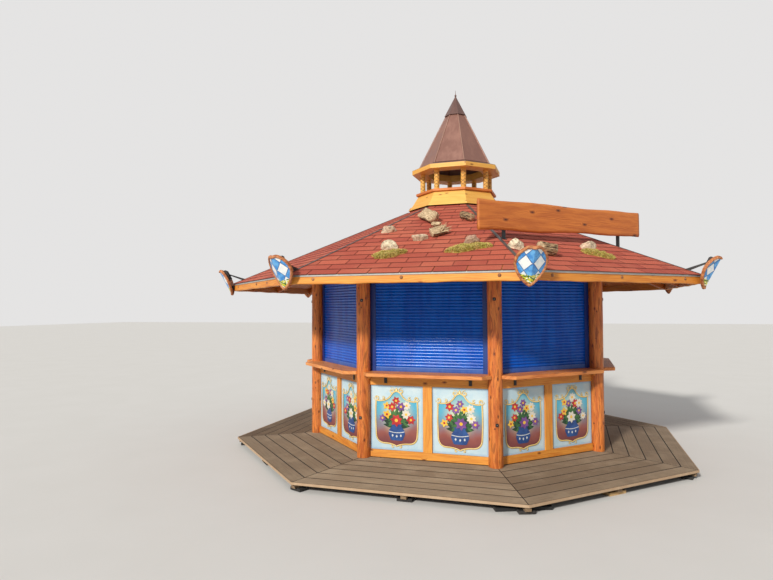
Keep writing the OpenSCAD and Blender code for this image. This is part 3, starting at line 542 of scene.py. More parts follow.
# %% [markdown]
# Rails, rafters, floor boards and the lantern's rings keep their CAD shape, because a sawn
# beam is as plain as its solid. They only get the timber, with its grain turned to the way
# that each kind of beam runs, and with each bay's tone, which paints the front bay palest and
# the others in shade.

# %% Dress the CAD timber
def dress(finish, *nodes):
    """Gives CAD pieces their finish."""
    for node in nodes:
        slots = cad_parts[node].data.materials
        slots.clear()
        slots.append(finish)
    print(finish.name, "on", ", ".join(nodes))


dress(timber("honey_timber_along", HONEY, "along"), "bottom_rails", "top_rails")
# The lantern's crown and skirt take half their colour from the bay tone, so their painted light and shade
# are strongest.
dress(timber("straw_timber_along", STRAW, "along", own=0.5), "lantern_crown", "lantern_skirt")
dress(timber("honey_timber_up", HONEY, "up"), "middle_stiles", "counter_cleats")
dress(timber("amber_timber_along", AMBER, "along"), "lantern_sills", "wall_plates", "lantern_curb")
dress(timber("amber_timber_out", AMBER, "out"), "hip_rafters", "common_rafters", "roof_boarding")
dress(timber("raw_timber_along", RAW, "along", rough=0.8), "sill_beams")
dress(timber("raw_timber_out", RAW, "out", rough=0.8), "deck_bearers", "floor_joists", "floor_boards")

# %% [markdown]
# ## Metal, rubber and cut edges
# Painted steel is never one flat tone. Dust lies on it, rain draws faint streaks down it, and
# the sheen changes from place to place. One recipe serves all the sheet metal, the rubber
# under the deck and the strip of cut board ends round it: a colour, a dusty colour, noise
# stretched downwards between them, and a roughness that follows it.

# %% Metal finish
def metal(name, main, dusty, rough=0.4, shine=0.0, streaks=0.5, speck=0.0):
    """Sheet metal. shine is how bare the metal is, speck how much of it is dotted."""
    main, dusty = paint(*main), paint(*dusty)
    sheet = Recipe(name, rough, shine)
    point = sheet.here()
    run = sheet.noise(point, (16, 16, 1.2), 4.0, 0.6)
    blot = sheet.noise(point, 3.5, 4.0, 0.6)
    share = sheet.plus(sheet.times(run, 0.5), sheet.times(blot, 0.5))
    base = sheet.cover(main, dusty, share, 0.42, 0.68, (0.0, streaks))
    grit = sheet.noise(point, 240.0, 2.0)
    if speck:
        base = sheet.cover(base, dusty, grit, 0.6, 0.75, (0.0, speck))
    sheet.colour(base)
    sheet.roughness(share, 0.35, 0.7, (rough - 0.08, rough + 0.16))
    sheet.bumps((blot, 0.5), (grit, 0.08))
    return sheet.material


black_steel = metal("black_steel", (26, 27, 30), (74, 72, 70), 0.5)
dress(black_steel, "counter_brackets", "shield_brackets", "corner_lamps", "sign_posts")
dress(metal("shutter_bar_blue", (36, 84, 170), (84, 120, 186)), "shutter_bars")
dress(metal("guide_blue", (6, 42, 120), (30, 76, 150)), "shutter_guides", "shutter_boxes")
dress(metal("grey_strip", (72, 64, 62), (116, 106, 100), 0.5, 0.15), "hip_caps")
dress(metal("drip_metal", (172, 174, 172), (206, 204, 196), 0.45, 0.35), "drip_edges")
dress(metal("spire_metal", (132, 92, 80), (164, 122, 106), 0.42, 0.25, speck=0.25), "spire_sheets")
dress(metal("seam_metal", (168, 128, 112), (192, 154, 136), 0.4, 0.2), "spire_seams")
dress(metal("tip_metal", (104, 76, 70), (132, 102, 94), 0.45, 0.3), "spire_deck", "spire_tip", "finial")
dress(metal("edge_strip", (176, 148, 118), (204, 180, 150), 0.75), "deck_edges")

# %% [markdown]
# ## Shutter slats
# The roller shutters are closed curtains of narrow curved slats. Each slat is a shallow arc
# of painted steel with a thin dark joint to the next. The lines of light on such a shutter
# come from the arcs themselves, so they are modelled, one arc a slat, and each leans by a
# fraction of a millimetre, as worn hinges let it. The paint is plain: gloss, and a little
# dust.

# %% Stack the slats
SLAT, BULGE, JOINT, BACK = 0.036, 0.0088, 0.0012, 0.004
ARC_STEPS = 12
LOOSENESS = 0.0004
CURTAIN_IN, POST_CLEAR = 0.060, 0.012   # in from the wall's line, and clear of the posts
CURTAIN = WALL - CURTAIN_IN

slats_low, slats_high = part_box("shutter_curtains")
slat_count = int((slats_high.z - slats_low.z) / SLAT)
curtain_half = CURTAIN * FLARE - POST_R - POST_CLEAR
stations = (-curtain_half, -curtain_half / 3, curtain_half / 3, curtain_half)


def slat_section(low, high, lean):
    """One slat seen from its end, as pairs of how far it stands out and its height."""
    arc = []
    for k in range(ARC_STEPS + 1):
        t = k / ARC_STEPS
        stands_out = BULGE * (1 - abs(2 * t - 1) ** 2.3) + lean * (t - 0.5)
        arc.append((stands_out, low + JOINT + (SLAT - 2 * JOINT) * t))
    return arc + [(0.0, high), (-BACK, high), (-BACK, low), (0.0, low)]


curtains = Pile(seed=15)
for bay in range(BAYS):
    for i in range(slat_count):
        low = slats_low.z + i * SLAT
        high = slats_high.z if i == slat_count - 1 else low + SLAT
        section = slat_section(low, high, curtains.chance.uniform(-LOOSENESS, LOOSENESS))
        curtains.skin([[(x, -CURTAIN - out, z) for out, z in section] for x in stations], bay_turn(bay))
print("each curtain has", slat_count, "slats")

# %% [markdown]
# The lacquer is one blue in two close tones, with a third that differs from slat to slat.
# Dust lies in patches, and the paint is a little duller where it lies.

# %% Slat lacquer
lacquer = Recipe("shutter_lacquer", 0.30)
run = lacquer.noise(lacquer.here(), (9, 9, 1.5), 3.0, 0.6)
grime = lacquer.noise(lacquer.here(), 34.0, 4.0, 0.65)
blue = lacquer.cover(paint(0, 80, 186), paint(0, 96, 204), run, 0.35, 0.65)
blue = lacquer.cover(blue, paint(0, 68, 162), lacquer.tone(), 0.0, 1.0, (0.0, 0.25))
lacquer.colour(lacquer.cover(blue, paint(90, 130, 180), grime, 0.62, 0.80, (0.0, 0.10)))
lacquer.roughness(grime, 0.3, 0.7, (0.17, 0.23))
lacquer.shader["Specular IOR Level"].default_value = 0.30
lacquer.bumps((run, 0.03))
slats = curtains.make("shutter_slats", [lacquer.material], smooth=True, crease=40)
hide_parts("shutter_curtains")

# %% [markdown]
# ## Shingle tabs
# The roof is covered with red bitumen shingles: strips cut into tabs a third of a metre wide,
# laid from the eave up, each row half a tab to the side of the one below. A texture could
# draw the joints, but the rows also cast thin shadows and lift a little at their edges. So
# every tab is a thin slab of its own, cut to the slope's outline at the hips.

# %% Cut a tab
COURSE, TAB, TAB_T = 0.147, 0.333, 0.004
COVER_T = 0.0103
SLOPE_LEN = 2.691
OVERHANG = 0.014


def clip(outline, side):
    """The part of a flat outline where side(point) is positive."""
    kept = []
    for i, here in enumerate(outline):
        there = outline[(i + 1) % len(outline)]
        a, b = side(here), side(there)
        if a >= 0:
            kept.append(here)
        if a * b < 0:
            t = a / (a - b)
            kept.append((here[0] + t * (there[0] - here[0]), here[1] + t * (there[1] - here[1])))
    return kept


def slope_half(up):
    """Half the width of a roof slope at a distance up from the eave."""
    return (EAVE - up * math.cos(PITCH)) * FLARE - 0.001


def lay_tab(pile, bay, left, right, low, lift):
    """One tab with its lower edge at low; lift raises the lower corners."""
    high = min(low + 1.9 * COURSE, SLOPE_LEN)
    middle = (left + right) / 2
    outline = [(left, low), (middle, low), (right, low), (right, high), (left, high)]
    for sign in (-1, 1):
        outline = clip(outline, lambda p: slope_half(p[1]) + sign * p[0])
    if len(outline) < 3:
        return
    upper = []
    for x, y in outline:
        curl = lift * (1 - (y - low) / (high - low)) * abs(x - middle) / TAB
        upper.append((x, y, COVER_T - TAB_T * (y - low) / COURSE + curl))
    n = len(upper)
    corners = [(x, y, z - TAB_T) for x, y, z in upper] + upper
    sides = [[i, (i + 1) % n, n + (i + 1) % n, n + i] for i in range(n)]
    grain = [(x, y - low, z) for x, y, z in corners]
    pile.add(corners, [list(range(n, 2 * n))] + sides, roof_place(bay), grain=grain)
    # The sides get the second coat: dark painted shade that draws the lines between tabs.
    pile.recoat(len(pile.faces) - n, range(n))


print("a slope is", round(2 * slope_half(0), 3), "m wide at the eave")

# %% [markdown]
# The rows start up to a centimetre or so out of line, and each tab's lower corners curl up
# by a random amount, as on a roof laid by hand. The felt is a red that differs from tab to
# tab, with pale and dark grains, and a painted shadow just below the next row, where that
# row's edge would shade it.

# %% Lay the shingles
TAB_GAP = 0.0045   # from each side of a tab to the middle of the joint
TABS, FIRST_TAB = 13, -2.0
ROW_PLAY, CURL = 0.012, 0.003

shingles = Pile(seed=11, spread=0.0)
rows = math.ceil((SLOPE_LEN + OVERHANG) / COURSE)
for bay in range(BAYS):
    for row in range(rows):
        low = row * COURSE - OVERHANG
        start = FIRST_TAB + (row % 2) * TAB / 2 + shingles.chance.uniform(-ROW_PLAY, ROW_PLAY)
        for tab in range(TABS):
            left = start + tab * TAB
            lift = shingles.chance.uniform(0, CURL)
            lay_tab(shingles, bay, left + TAB_GAP, left + TAB - TAB_GAP, low, lift)

felt = Recipe("red_shingle_felt", 0.88)
grit = felt.noise(felt.here(), 620.0, 3.0, 0.7)
patch = felt.noise(felt.here(), 2.2, 4.0, 0.6)
red = felt.mix(felt.tone(), paint(178, 78, 60), paint(208, 104, 78))
for colour, where, low, high, into in (
    ((216, 130, 98), patch, 0.45, 0.7, (0.0, 0.35)),   # worn patches
    ((120, 48, 38), grit, 0.42, 0.6, (0.45, 0.0)),     # dark grains
    ((218, 150, 128), grit, 0.62, 0.72, (0.0, 0.4)),   # pale grains
    # Painted shadow: a dark band where the next row's edge would cast its shade.
    ((92, 38, 32), felt.parts(felt.on_part())["Y"], 0.126, 0.142, (0.0, 0.6)),   # under the next row
):
    red = felt.cover(red, paint(*colour), where, low, high, into)
felt.colour(red)
felt.bumps((patch, 1.5), (grit, 0.6))
# Painted shade: the sides of the tabs are dark, so rows and slots read as shadow lines.
tab_side_shade = two_tone("tab_side_shade", 0.95, 300.0, (78, 36, 30), (108, 50, 42))
roof_cover = shingles.make("shingle_tabs", [felt.material, tab_side_shade])
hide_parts("shingle_slopes")

# %% [markdown]
# ## Deck boards
# The deck is made of fluted composite boards, six to a side, mitred where two sides meet. The
# flutes are what catches the light on such boards, so the section of one board is drawn with
# its ribs and pulled to both mitres. One drawn section serves all the boards.

# %% Lay the deck
DECK_FALL = 0.050
DECK_ROWS = 6
BOARD_T, RIBS, GROOVE, ARRIS = 0.0245, 11, 0.0022, 0.004
BOARD_GAP, MITRE_GAP = 0.003, 0.0052
TRIM = 0.0095   # the edge strip in front of the first board
BOARD_SINK = 0.0005
deck_run = DECK_EDGE - WALL
deck_slope = math.atan(DECK_FALL / deck_run)
row_width = deck_run / math.cos(deck_slope) / DECK_ROWS


def board_section(width):
    """The upper outline of a fluted board, from its front foot to its back foot."""
    line = [(0, -BOARD_T), (0, -ARRIS), (ARRIS, 0)]
    pitch = (width - 2 * ARRIS) / RIBS
    for i in range(1, RIBS):
        at = ARRIS + i * pitch
        line += [(at + pitch * share, depth) for share, depth in
                 ((-0.28, 0), (-0.16, -GROOVE), (0.16, -GROOVE), (0.28, 0))]
    return line + [(width - ARRIS, 0), (width, -ARRIS), (width, -BOARD_T)]


def mitre_reach(up):
    """Half the length of a board at a distance up the deck's slope."""
    return (DECK_EDGE - up * math.cos(deck_slope)) * FLARE - MITRE_GAP


deck = Pile(seed=5)
for bay in range(BAYS):
    for row in range(DECK_ROWS):
        from_edge = max(row * row_width, TRIM) + (BOARD_GAP if row else 0)
        width = (row + 1) * row_width - from_edge - BOARD_GAP
        section = board_section(width)
        rings = [[(sign * mitre_reach(from_edge + v), from_edge + v, h - BOARD_SINK) for v, h in section]
                 for sign in (-1, 1)]
        start, faces = deck.skin(rings, slope_place(bay, DECK_EDGE, DECK_TOP - DECK_FALL, deck_slope))
        n = len(section)
        # These faces get the second coat: painted shade on arrises, sides, underside and ends, so the gaps
        # read dark.
        deck.recoat(start, (0, 1, n - 3, n - 2, n - 1, n, n + 1))  # arrises, sides, underside, ends
print("a deck board is", round(row_width, 3), "m wide")

# %% [markdown]
# Composite is ground wood in plastic, so it has no real grain: brushed streaks along the
# board and small pale flecks. Walked dust lies over it in wide patches that don't stop at
# the joints, so the dust is laid by the place on the hut and the streaks by the board.

# %% Deck board finish
composite = Recipe("composite_board", 0.78)
spot = composite.on_part()
streak = composite.noise(spot, (2.2, 60, 1), 4.0, 0.65)
dust = composite.noise(composite.here(), 3.1, 5.0, 0.62)
fleck = composite.noise(spot, (60, 220, 60))
brown = composite.mix(composite.tone(), paint(128, 109, 88), paint(148, 129, 106))
brown = composite.cover(brown, paint(108, 90, 72), streak, 0.35, 0.7, (0.0, 0.5))
brown = composite.cover(brown, paint(172, 154, 130), dust, 0.44, 0.68, (0.0, 0.35))
composite.colour(composite.cover(brown, paint(190, 172, 148), fleck, 0.6, 0.75, (0.0, 0.3)))
composite.bumps((streak, 0.4), (fleck, 0.25))
# Painted shade: the boards' sides and arrises are dark, as the gaps between them are in shade.
board_side_shade = two_tone("board_side_shade", 0.9, 30.0, (44, 36, 30), (66, 55, 46))
deck_boards = deck.make("deck_boards", [composite.material, board_side_shade])
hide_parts("deck_panels")

# %% [markdown]
# ## Log posts
# The posts are peeled logs: nearly round, but with shallow hollows, scratches from the
# peeling iron, and knots that stand a little proud where branches grew. A lathe could only
# make them round. Here each point of the skin gets its own radius: noise gives the hollows
# and nicks, and a few smooth swellings give the knots. The places of the swellings are kept,
# because the dark knot eyes have to lie on them.

# %% Turn the logs
LOG_KNOTS, LOG_AROUND, LOG_STEPS = 13, 56, 84
FOOT, FOOT_DEPTH = 0.015, 0.011      # height and depth of the chamfer at a log's foot
SKIN_IN = 0.0026                     # how far the skin lies inside the CAD radius
HOLLOW, NICK, KNOT_RISE = 0.0032, 0.0022, 0.0032
KNOT_FREE = 0.1                      # no knots this close to an end


def log_radius(angle, z, corner, foot):
    """The radius of a log before its knots; foot runs from 0 to 1 down the chamfer."""
    c, s = math.cos(angle), math.sin(angle)
    soft = noise.noise(Vector((c * 1.3 + corner * 9, s * 1.3, z * 1.1)))
    fine = noise.noise(Vector((c * 5, s * 5 + corner * 7, z * 4)))
    nick = noise.noise(Vector((c * 9, s * 9 + corner * 5, z * 2.2)))
    hollow = HOLLOW * soft + 0.0012 * fine - NICK * max(0.0, nick - 0.25)
    return POST_R - SKIN_IN + hollow - FOOT_DEPTH * foot * foot


def log_post(pile, corner, low, high):
    """One log. Returns the place, height, side and size of its knots."""
    draw = pile.chance.uniform
    knots = [(draw(low + KNOT_FREE, high - KNOT_FREE), draw(0, ROUND), draw(0.016, 0.028))
             for _ in range(LOG_KNOTS)]
    levels = [low, low + 0.003, low + 0.008, low + FOOT]
    levels += [low + 0.03 + i * (high - low - 0.045) / LOG_STEPS for i in range(LOG_STEPS + 1)] + [high]
    rings, grain = [], []
    for z in levels:
        ring = []
        for i in range(LOG_AROUND):
            angle = ROUND * i / LOG_AROUND
            r = log_radius(angle, z, corner, max(0.0, FOOT - (z - low)) / FOOT)
            for at, side, size in knots:
                turn = (angle - side + math.pi) % ROUND - math.pi
                far = ((z - at) ** 2 + (turn * POST_R) ** 2) / size ** 2
                r += KNOT_RISE * math.exp(-far * 1.6)
            ring.append((r * math.cos(angle), r * math.sin(angle), z))
            grain.append((z, POST_R * angle, 0))
        rings.append(ring)
    place = corner_place(corner, POST_RING)
    pile.skin(rings, place, grain=grain)
    return [(place, *knot) for knot in knots]


post_low, post_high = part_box("posts")
posts = Pile(seed=21)
eyes = []
for corner in range(BAYS):
    eyes += log_post(posts, corner, post_low.z, post_high.z)
amber_log = timber("amber_log", stain((240, 148, 68), (178, 84, 30), (98, 42, 16)),
                   ring=34.0, knots=4.2, rough=0.42, wear=0.45, figure=0.38, bast=0.55)
log_posts = posts.make("log_posts", [amber_log], smooth=True)
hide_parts("posts")

# %% [markdown]
# ## Knot eyes on the logs
# Each swelling ends in a dark eye, the cut branch itself, ringed by lighter wood. The grain
# could draw the eyes, but then they would miss the swellings. So they are shallow discs bent
# round the log. They are cheap, and they land exactly where the knots stand proud.

# %% Set the knot eyes
EYE_POINTS = 14
EYE_LIFT = 0.0012
EYE_RINGS = ((0.45, 0.0004), (1.0, -0.0016))   # share of the eye's size, and its lift there

knot_eyes = Pile(seed=22)
for place, at, side, size in eyes:
    n = EYE_POINTS
    rim = [size * 0.36 * (1 + 0.18 * math.sin(3 * ROUND * i / n + at * 40)) for i in range(n)]
    disc = [(POST_R + EYE_LIFT, 0.0, 0.0)]
    for share, lift in EYE_RINGS:
        for i in range(n):
            a = ROUND * i / n
            y, z = rim[i] * share * math.cos(a), rim[i] * share * 1.25 * math.sin(a)
            disc.append((math.sqrt((POST_R + EYE_LIFT + lift) ** 2 - y * y), y, z))
    faces = [[0, 1 + i, 1 + (i + 1) % n] for i in range(n)]
    faces += [[1 + i, 1 + n + i, 1 + n + (i + 1) % n, 1 + (i + 1) % n] for i in range(n)]
    knot_eyes.add(disc, faces, place @ shift(0, 0, at) @ spin(side))
knot_wood = two_tone("knot_wood", 0.55, 160.0, (84, 38, 18), (140, 74, 36), depth=0.6)
knot_eyes.make("knot_eyes", [knot_wood], smooth=True)

# %% [markdown]
# ## Latch plates
# Two small black plates with a bolt sit on every log, one beside the painted boards and one
# under the eave. They are cut from sheet with clipped corners and follow no curve, so they
# stand on the log's skin by their middle, as screwed plates do on round timber.

# %% Screw on the latch plates
LATCH = 0.036
LATCH_LAYERS = ((1, -0.004), (1, 0.002), (0.94, 0.003))   # share of the width, and height
LATCH_BOLT = ((0.0050, 0.002), (0.0050, 0.005), (0.0036, 0.0066), (0.0012, 0.0070))
LOW_LATCH, HIGH_LATCH = 0.625, 2.02

octagon = [(x * LATCH / 2, y * LATCH / 2) for x, y in
           ((-0.7, -1), (0.7, -1), (1, -0.7), (1, 0.7), (0.7, 1), (-0.7, 1), (-1, 0.7), (-1, -0.7))]
latches = Pile(seed=23)
for corner in range(BAYS):
    odd = corner % 2
    for height, angle in ((LOW_LATCH, -8 if odd else 18), (HIGH_LATCH, 6)):
        facing = math.radians(angle + (22.5 if odd else -22.5))
        on_log = corner_place(corner, POST_RING, height) @ spin(facing) @ shift(0, -POST_R, 0) @ UPRIGHT
        latches.skin([[(x * k, y * k, z) for x, y in octagon] for k, z in LATCH_LAYERS], on_log)
        latches.skin(turned(LATCH_BOLT, 12), on_log, coat=1)
bolt_zinc = metal("bolt_zinc", (158, 156, 150), (190, 184, 172), 0.4, 0.7)
latches.make("latch_plates", [black_steel, bolt_zinc])

# %% [markdown]
# ## Planks with soft and live edges
# A planed plank never has a knife edge: its arris is taken off. A live edge, left as the tree
# grew, also wanders. Both come from helpers: one takes the outline of a plank, pulls it in a
# little at the top and the bottom and gives four outlines to skin, and one makes an edge
# wander. The packing, the counters, the painted boards, the sign and the eave boards use one
# or both of them.

# %% A plank from its outline
def pulled_in(outline, amount):
    """An outline moved inwards by amount, corner by corner."""
    moved = []
    ahead = outline[1:] + outline[:1]
    turn = sum(a[0] * b[1] - b[0] * a[1] for a, b in zip(outline, ahead))
    side = 1 if turn > 0 else -1
    for i, here in enumerate(outline):
        before, here, after = Vector(outline[i - 1]), Vector(here), Vector(ahead[i])
        into, out = (here - before).normalized(), (after - here).normalized()
        normal = side * (Vector((-into.y, into.x)) + Vector((-out.y, out.x)))
        length = max(normal.length, 0.2)
        moved.append(here + normal / length * amount * 2 / length)
    return [(p.x, p.y) for p in moved]


def plank(outline, low, high, arris=0.004):
    """Rings of a flat board with its upper and lower edges eased."""
    inner = pulled_in(outline, arris)
    layers = ((inner, low), (outline, low + arris), (outline, high - arris), (inner, high))
    return [[(x, y, z) for x, y in ring] for ring, z in layers]


def wander(seed, x, size):
    """A smooth sideways wobble for a live edge."""
    slow, quick = Vector((x * 1.7, seed, 0.3)), Vector((x * 6.5, seed, 4.1))
    return size * (noise.noise(slow) + 0.45 * noise.noise(quick))


def along(start, end, steps, seed, size):
    """Points from start up to end, with a wobble square to the line."""
    start, end = Vector(start), Vector(end)
    across = Vector((start.y - end.y, end.x - start.x)).normalized()
    points = []
    for i in range(steps):
        t = i / steps
        wobble = wander(seed, t * (end - start).length, size)
        p = start.lerp(end, t) + across * wobble * min(1, 6 * t, 6 * (1 - t))
        points.append((p.x, p.y))
    return points


def on_edge(rings):
    """Grain of a plank that stands on its edge: along X, and up Z in place of Y."""
    return [(x, z, y) for ring in rings for x, y, z in ring]


print("a plank has", len(plank([(0, 0), (1, 0), (1, 1), (0, 1)], 0, 0.04)), "rings")

# %% [markdown]
# ## Pads under the deck
# The deck stands on loose packing: pieces of black rubber mat, one longer beam at the front
# corner, and a block of raw timber under the next bay. Packing is cut with a knife or a saw
# and gets squashed, so the slabs have eased, slightly bulging edges and lie a little askew.

# %% Pack the deck
PAD_W, PAD_D, PAD_IN = 0.156, 0.124, 0.120
BLOCK_W = 0.236
BEAM_W, BEAM_D, BEAM_IN = 0.556, 0.094, 0.200
PAD_SHAPE = ((-1, -1), (0, -1.01), (1, -1), (1.006, 0), (1, 1), (0, 1.01), (-1, 1), (-1.006, 0))
SKEW = 2.5   # degrees

pads_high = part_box("deck_pads")[1]
pads = Pile(seed=17)


def pad(place, wide, deep, coat=0):
    """One slab, as high as the packing in CAD."""
    outline = [(x * wide / 2, y * deep / 2) for x, y in PAD_SHAPE]
    pads.skin(plank(outline, 0.0, pads_high.z, 0.0035), place, coat=coat)


for order in range(2 * BAYS):
    on_corner = order % 2
    outer, inner = (DECK_R, POST_RING) if on_corner else (DECK_EDGE, WALL)
    for at in (outer - PAD_IN, inner + 2 * PAD_IN):
        skew = spin(math.radians(pads.chance.uniform(-SKEW, SKEW)))
        is_block = order == 2 and at == outer - PAD_IN
        on_ground = bay_turn(order / 2) @ shift(0, -at, 0) @ skew
        pad(on_ground, BLOCK_W if is_block else PAD_W, PAD_D, coat=int(is_block))
pad(corner_place(0, DECK_R - BEAM_IN), BEAM_W, BEAM_D)
rubber = metal("pad_rubber", (34, 34, 34), (88, 82, 76), 0.85)
raw_block = timber("raw_block", stain((214, 180, 128), (168, 128, 84), (110, 76, 46)), rough=0.8)
packing = pads.make("deck_packing", [rubber, raw_block])
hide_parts("deck_pads")

# %% [markdown]
# ## Serving counters
# A thick plank stands out in front of every shutter, so that cups and plates can be served
# over it. Its front is a live edge, its ends slant back to the logs, and behind the logs it
# runs on to the mitres with its neighbours. It is one outline, made solid by the plank
# helper, with another wander for each bay.

# %% Saw the counters
COUNTER_TOP, COUNTER_T, COUNTER_HALF = DECK_TOP + 1.015, 0.041, 0.668
COUNTER_OUT, CHEEK_OUT, COUNTER_IN = 0.223, 0.092, 0.070   # measured from the wall's line
CHEEK_SHORT, MITRE_JOINT = 0.030, 0.001
LIVE_EDGE = 0.005
counter_front, cheek, counter_back = WALL + COUNTER_OUT, WALL + CHEEK_OUT, WALL - COUNTER_IN
cheek_x = WALL * FLARE - CHEEK_SHORT
back_x = counter_back * FLARE - MITRE_JOINT
counter_end = [(COUNTER_HALF, -counter_front), (cheek_x, -cheek), (cheek_x, -WALL), (back_x, -counter_back)]

counters = Pile(seed=31)
for bay in range(BAYS):
    front = along((-COUNTER_HALF, -counter_front), counter_end[0], 40, bay * 3.1, LIVE_EDGE)
    outline = front + counter_end + [(-x, y) for x, y in reversed(counter_end[1:])]
    counters.skin(plank(outline, COUNTER_TOP - COUNTER_T, COUNTER_TOP, 0.005), bay_turn(bay))
cherry_part = timber("cherry_timber_part", stain((240, 164, 92), (188, 102, 44), (112, 52, 22)),
                     knots=2.6, ring=26.0)
serving = counters.make("serving_counters", [cherry_part])
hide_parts("counters")

# %% [markdown]
# ## The sign board
# The sign is one broad plank sawn from a whole trunk, so both its long edges are live and its
# face is full of flame figures and knots. It stands bare here. Its face dips and swells by
# about a millimetre where it has dried, which breaks up the reflection of the sky.

# %% Saw the sign board
SIGN_L, SIGN_H, SIGN_T = 2.457, 0.335, 0.032
SIGN_SHIFT, SIGN_IN = 0.038, 0.827   # along the eave, and in from it
SIGN_LIFT = 0.094                    # from the shingles to its lower edge
SIGN_ROUND, SIGN_SWELL = 0.014, 0.0012
STATIONS, BANDS = 120, 12
sign_face = EAVE - SIGN_IN
sign_foot = EAVE_Z + (EAVE - sign_face) * math.tan(PITCH) + COVER_T / math.cos(PITCH) + SIGN_LIFT


def sign_edge(t, high, rise, phase):
    """The line of a long edge: a slope and one slow wave."""
    wave = 0.009 * math.sin(4 * math.pi * t + math.radians(phase)) * math.sin(math.pi * t)
    return high + rise * t + wave


rings = []
for i in range(STATIONS + 1):
    t = i / STATIONS
    x = (t - 0.5) * SIGN_L
    ease = min(1.0, 14 * t, 14 * (1 - t))
    low = sign_edge(t, 0.0, 0.045, 40) + (0.004 + wander(3.0, x, 0.006)) * ease
    high = sign_edge(t, SIGN_H, 0.012, 200) - (0.004 + wander(8.0, x, 0.006)) * ease
    ring = []
    for face in (-1, 1):
        for j in range(BANDS + 1):
            v = j / BANDS if face < 0 else 1 - j / BANDS
            z = low + (high - low) * v
            edge = min(1.0, min(v, 1 - v) * (high - low) / SIGN_ROUND)
            swell = SIGN_SWELL * noise.noise(Vector((x * 2.2, z * 6, face)))
            y = face * (SIGN_T / 2 - 0.0013 + swell) * (0.35 + 0.65 * math.sqrt(edge * (2 - edge)))
            ring.append((x, y, z))
    rings.append(ring)

sign = Pile(seed=41)
sign_place = bay_turn(1) @ shift(SIGN_SHIFT, -sign_face + SIGN_T / 2, sign_foot)
sign.skin(rings, sign_place, grain=on_edge(rings), tone=0.55)
sign_part = timber("sign_timber", stain((214, 128, 54), (166, 82, 30), (96, 42, 18)),
                   knots=2.6, ring=26.0, wear=0.2)
sign_piece = sign.make("sign_plank", [sign_part], smooth=True)
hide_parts("sign_board")

# %% [markdown]
# ## Eave boards
# The boards along the eaves are the brightest line of the hut. Each is a plank set upright,
# with its lower edge live and its upper edge cut to the roof's pitch. Its ends are mitred to
# the next board, under the shields. Three coach bolts hold each board to the rafter ends.

# %% Hang the eave boards
FASCIA_H, FASCIA_T, WANE = 0.104, 0.040, 0.008
FASCIA_STEPS = 60
BOLT_X, BOLT_DROP = 0.955, 0.047
EAVE_BOLT = ((0.0185, -0.002), (0.0185, 0.0015), (0.017, 0.0022), (0.0115, 0.0024),
             (0.011, 0.0065), (0.0082, 0.0096), (0.0036, 0.0108))


def eave_wane(x):
    """How much the live edge has taken off the board's lower side."""
    i = (x / (EAVE * FLARE) + 1) * 12
    return WANE * (0.5 + 0.5 * math.sin(math.radians(i * 67)) * math.cos(math.radians(i * 23)))


def eave_section(low):
    """A board seen from its end, as pairs of apothem and height."""
    back, back_top = EAVE - FASCIA_T, EAVE_Z + FASCIA_T * math.tan(PITCH) - 0.0006
    return ((EAVE, low + 0.010), (EAVE - 0.002, low + 0.004), (EAVE - 0.008, low), (EAVE - 0.033, low),
            (back, low + 0.006), (back, back_top), (EAVE - 0.002, EAVE_Z - 0.0006), (EAVE, EAVE_Z - 0.003))


fascia = Pile(seed=51)
bolts = Pile(seed=52)
for bay in range(BAYS):
    rings = []
    for i in range(FASCIA_STEPS + 1):
        u = -1 + i / (FASCIA_STEPS / 2)
        x_mid = u * EAVE * FLARE
        low = EAVE_Z - FASCIA_H + eave_wane(x_mid) + wander(bay * 5.3, x_mid, 0.0015)
        rings.append([(u * (out * FLARE - 0.0004), -out, z) for out, z in eave_section(low)])
    # Painted light: the front board gets a fixed pale tone, as if in sun, and the others random darker
    # tones, as if in shade.
    tone = fascia.chance.uniform(0.1, 0.4) if bay else 0.75
    fascia.skin(rings, bay_turn(bay), grain=on_edge(rings), tone=tone)
    for x in (-BOLT_X, 0.0, BOLT_X):
        spot = wall_place(bay, x + bolts.chance.uniform(-0.02, 0.02), EAVE, EAVE_Z - BOLT_DROP)
        bolts.skin(turned(EAVE_BOLT, 16), spot)
eave_timber = timber("eave_timber", HONEY, knots=2.8, ring=18.0, wear=0.25, own=0.5)
fascia_piece = fascia.make("eave_planks", [eave_timber])
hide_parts("eave_boards")
bolt_steel = metal("bolt_steel", (128, 78, 46), (206, 150, 102), 0.5, 0.2, 0.8)
bolts.make("eave_bolts", [bolt_steel], smooth=True)

# %% [markdown]
# ## Shapes of a painter
# Each bay has two painted boards. Painters build such a board in layers: ground, shaded
# field, motif, line, highlight. The same order works in Blender with thin flat shapes, each
# a hair in front of the last, so every edge is as crisp as a brush line. The shapes are few:
# a line of even or tapered width, a scroll, a petal, a disc and a bent line. The field's
# outline is made of bent lines too.

# %% Shapes for painting
def stroke(points, width, taper=False):
    """Corners and faces of a painted line, thinner at its ends if it tapers."""
    n, corners = len(points), []
    for i, p in enumerate(points):
        a, b = points[max(i - 1, 0)], points[min(i + 1, n - 1)]
        step = Vector((b[0] - a[0], b[1] - a[1]))
        across = Vector((-step.y, step.x)).normalized()
        half = width / 2 * (math.sin(math.pi * (0.08 + 0.84 * i / (n - 1))) if taper else 1.0)
        corners += [(p[0] + side * across.x * half, p[1] + side * across.y * half) for side in (1, -1)]
    return corners, [[2 * i, 2 * i + 1, 2 * i + 3, 2 * i + 2] for i in range(n - 1)]


def swing(centre, r, angle):
    """The point at a distance and an angle from a centre."""
    return (centre[0] + r * math.cos(angle), centre[1] + r * math.sin(angle))


def scroll(centre, size, start, turns, flip, steps=26):
    """A spiral, from its eye outwards."""
    shares = [i / steps for i in range(steps + 1)]
    return [swing(centre, size * (0.16 + 0.84 * t), start + flip * turns * ROUND * t) for t in shares]


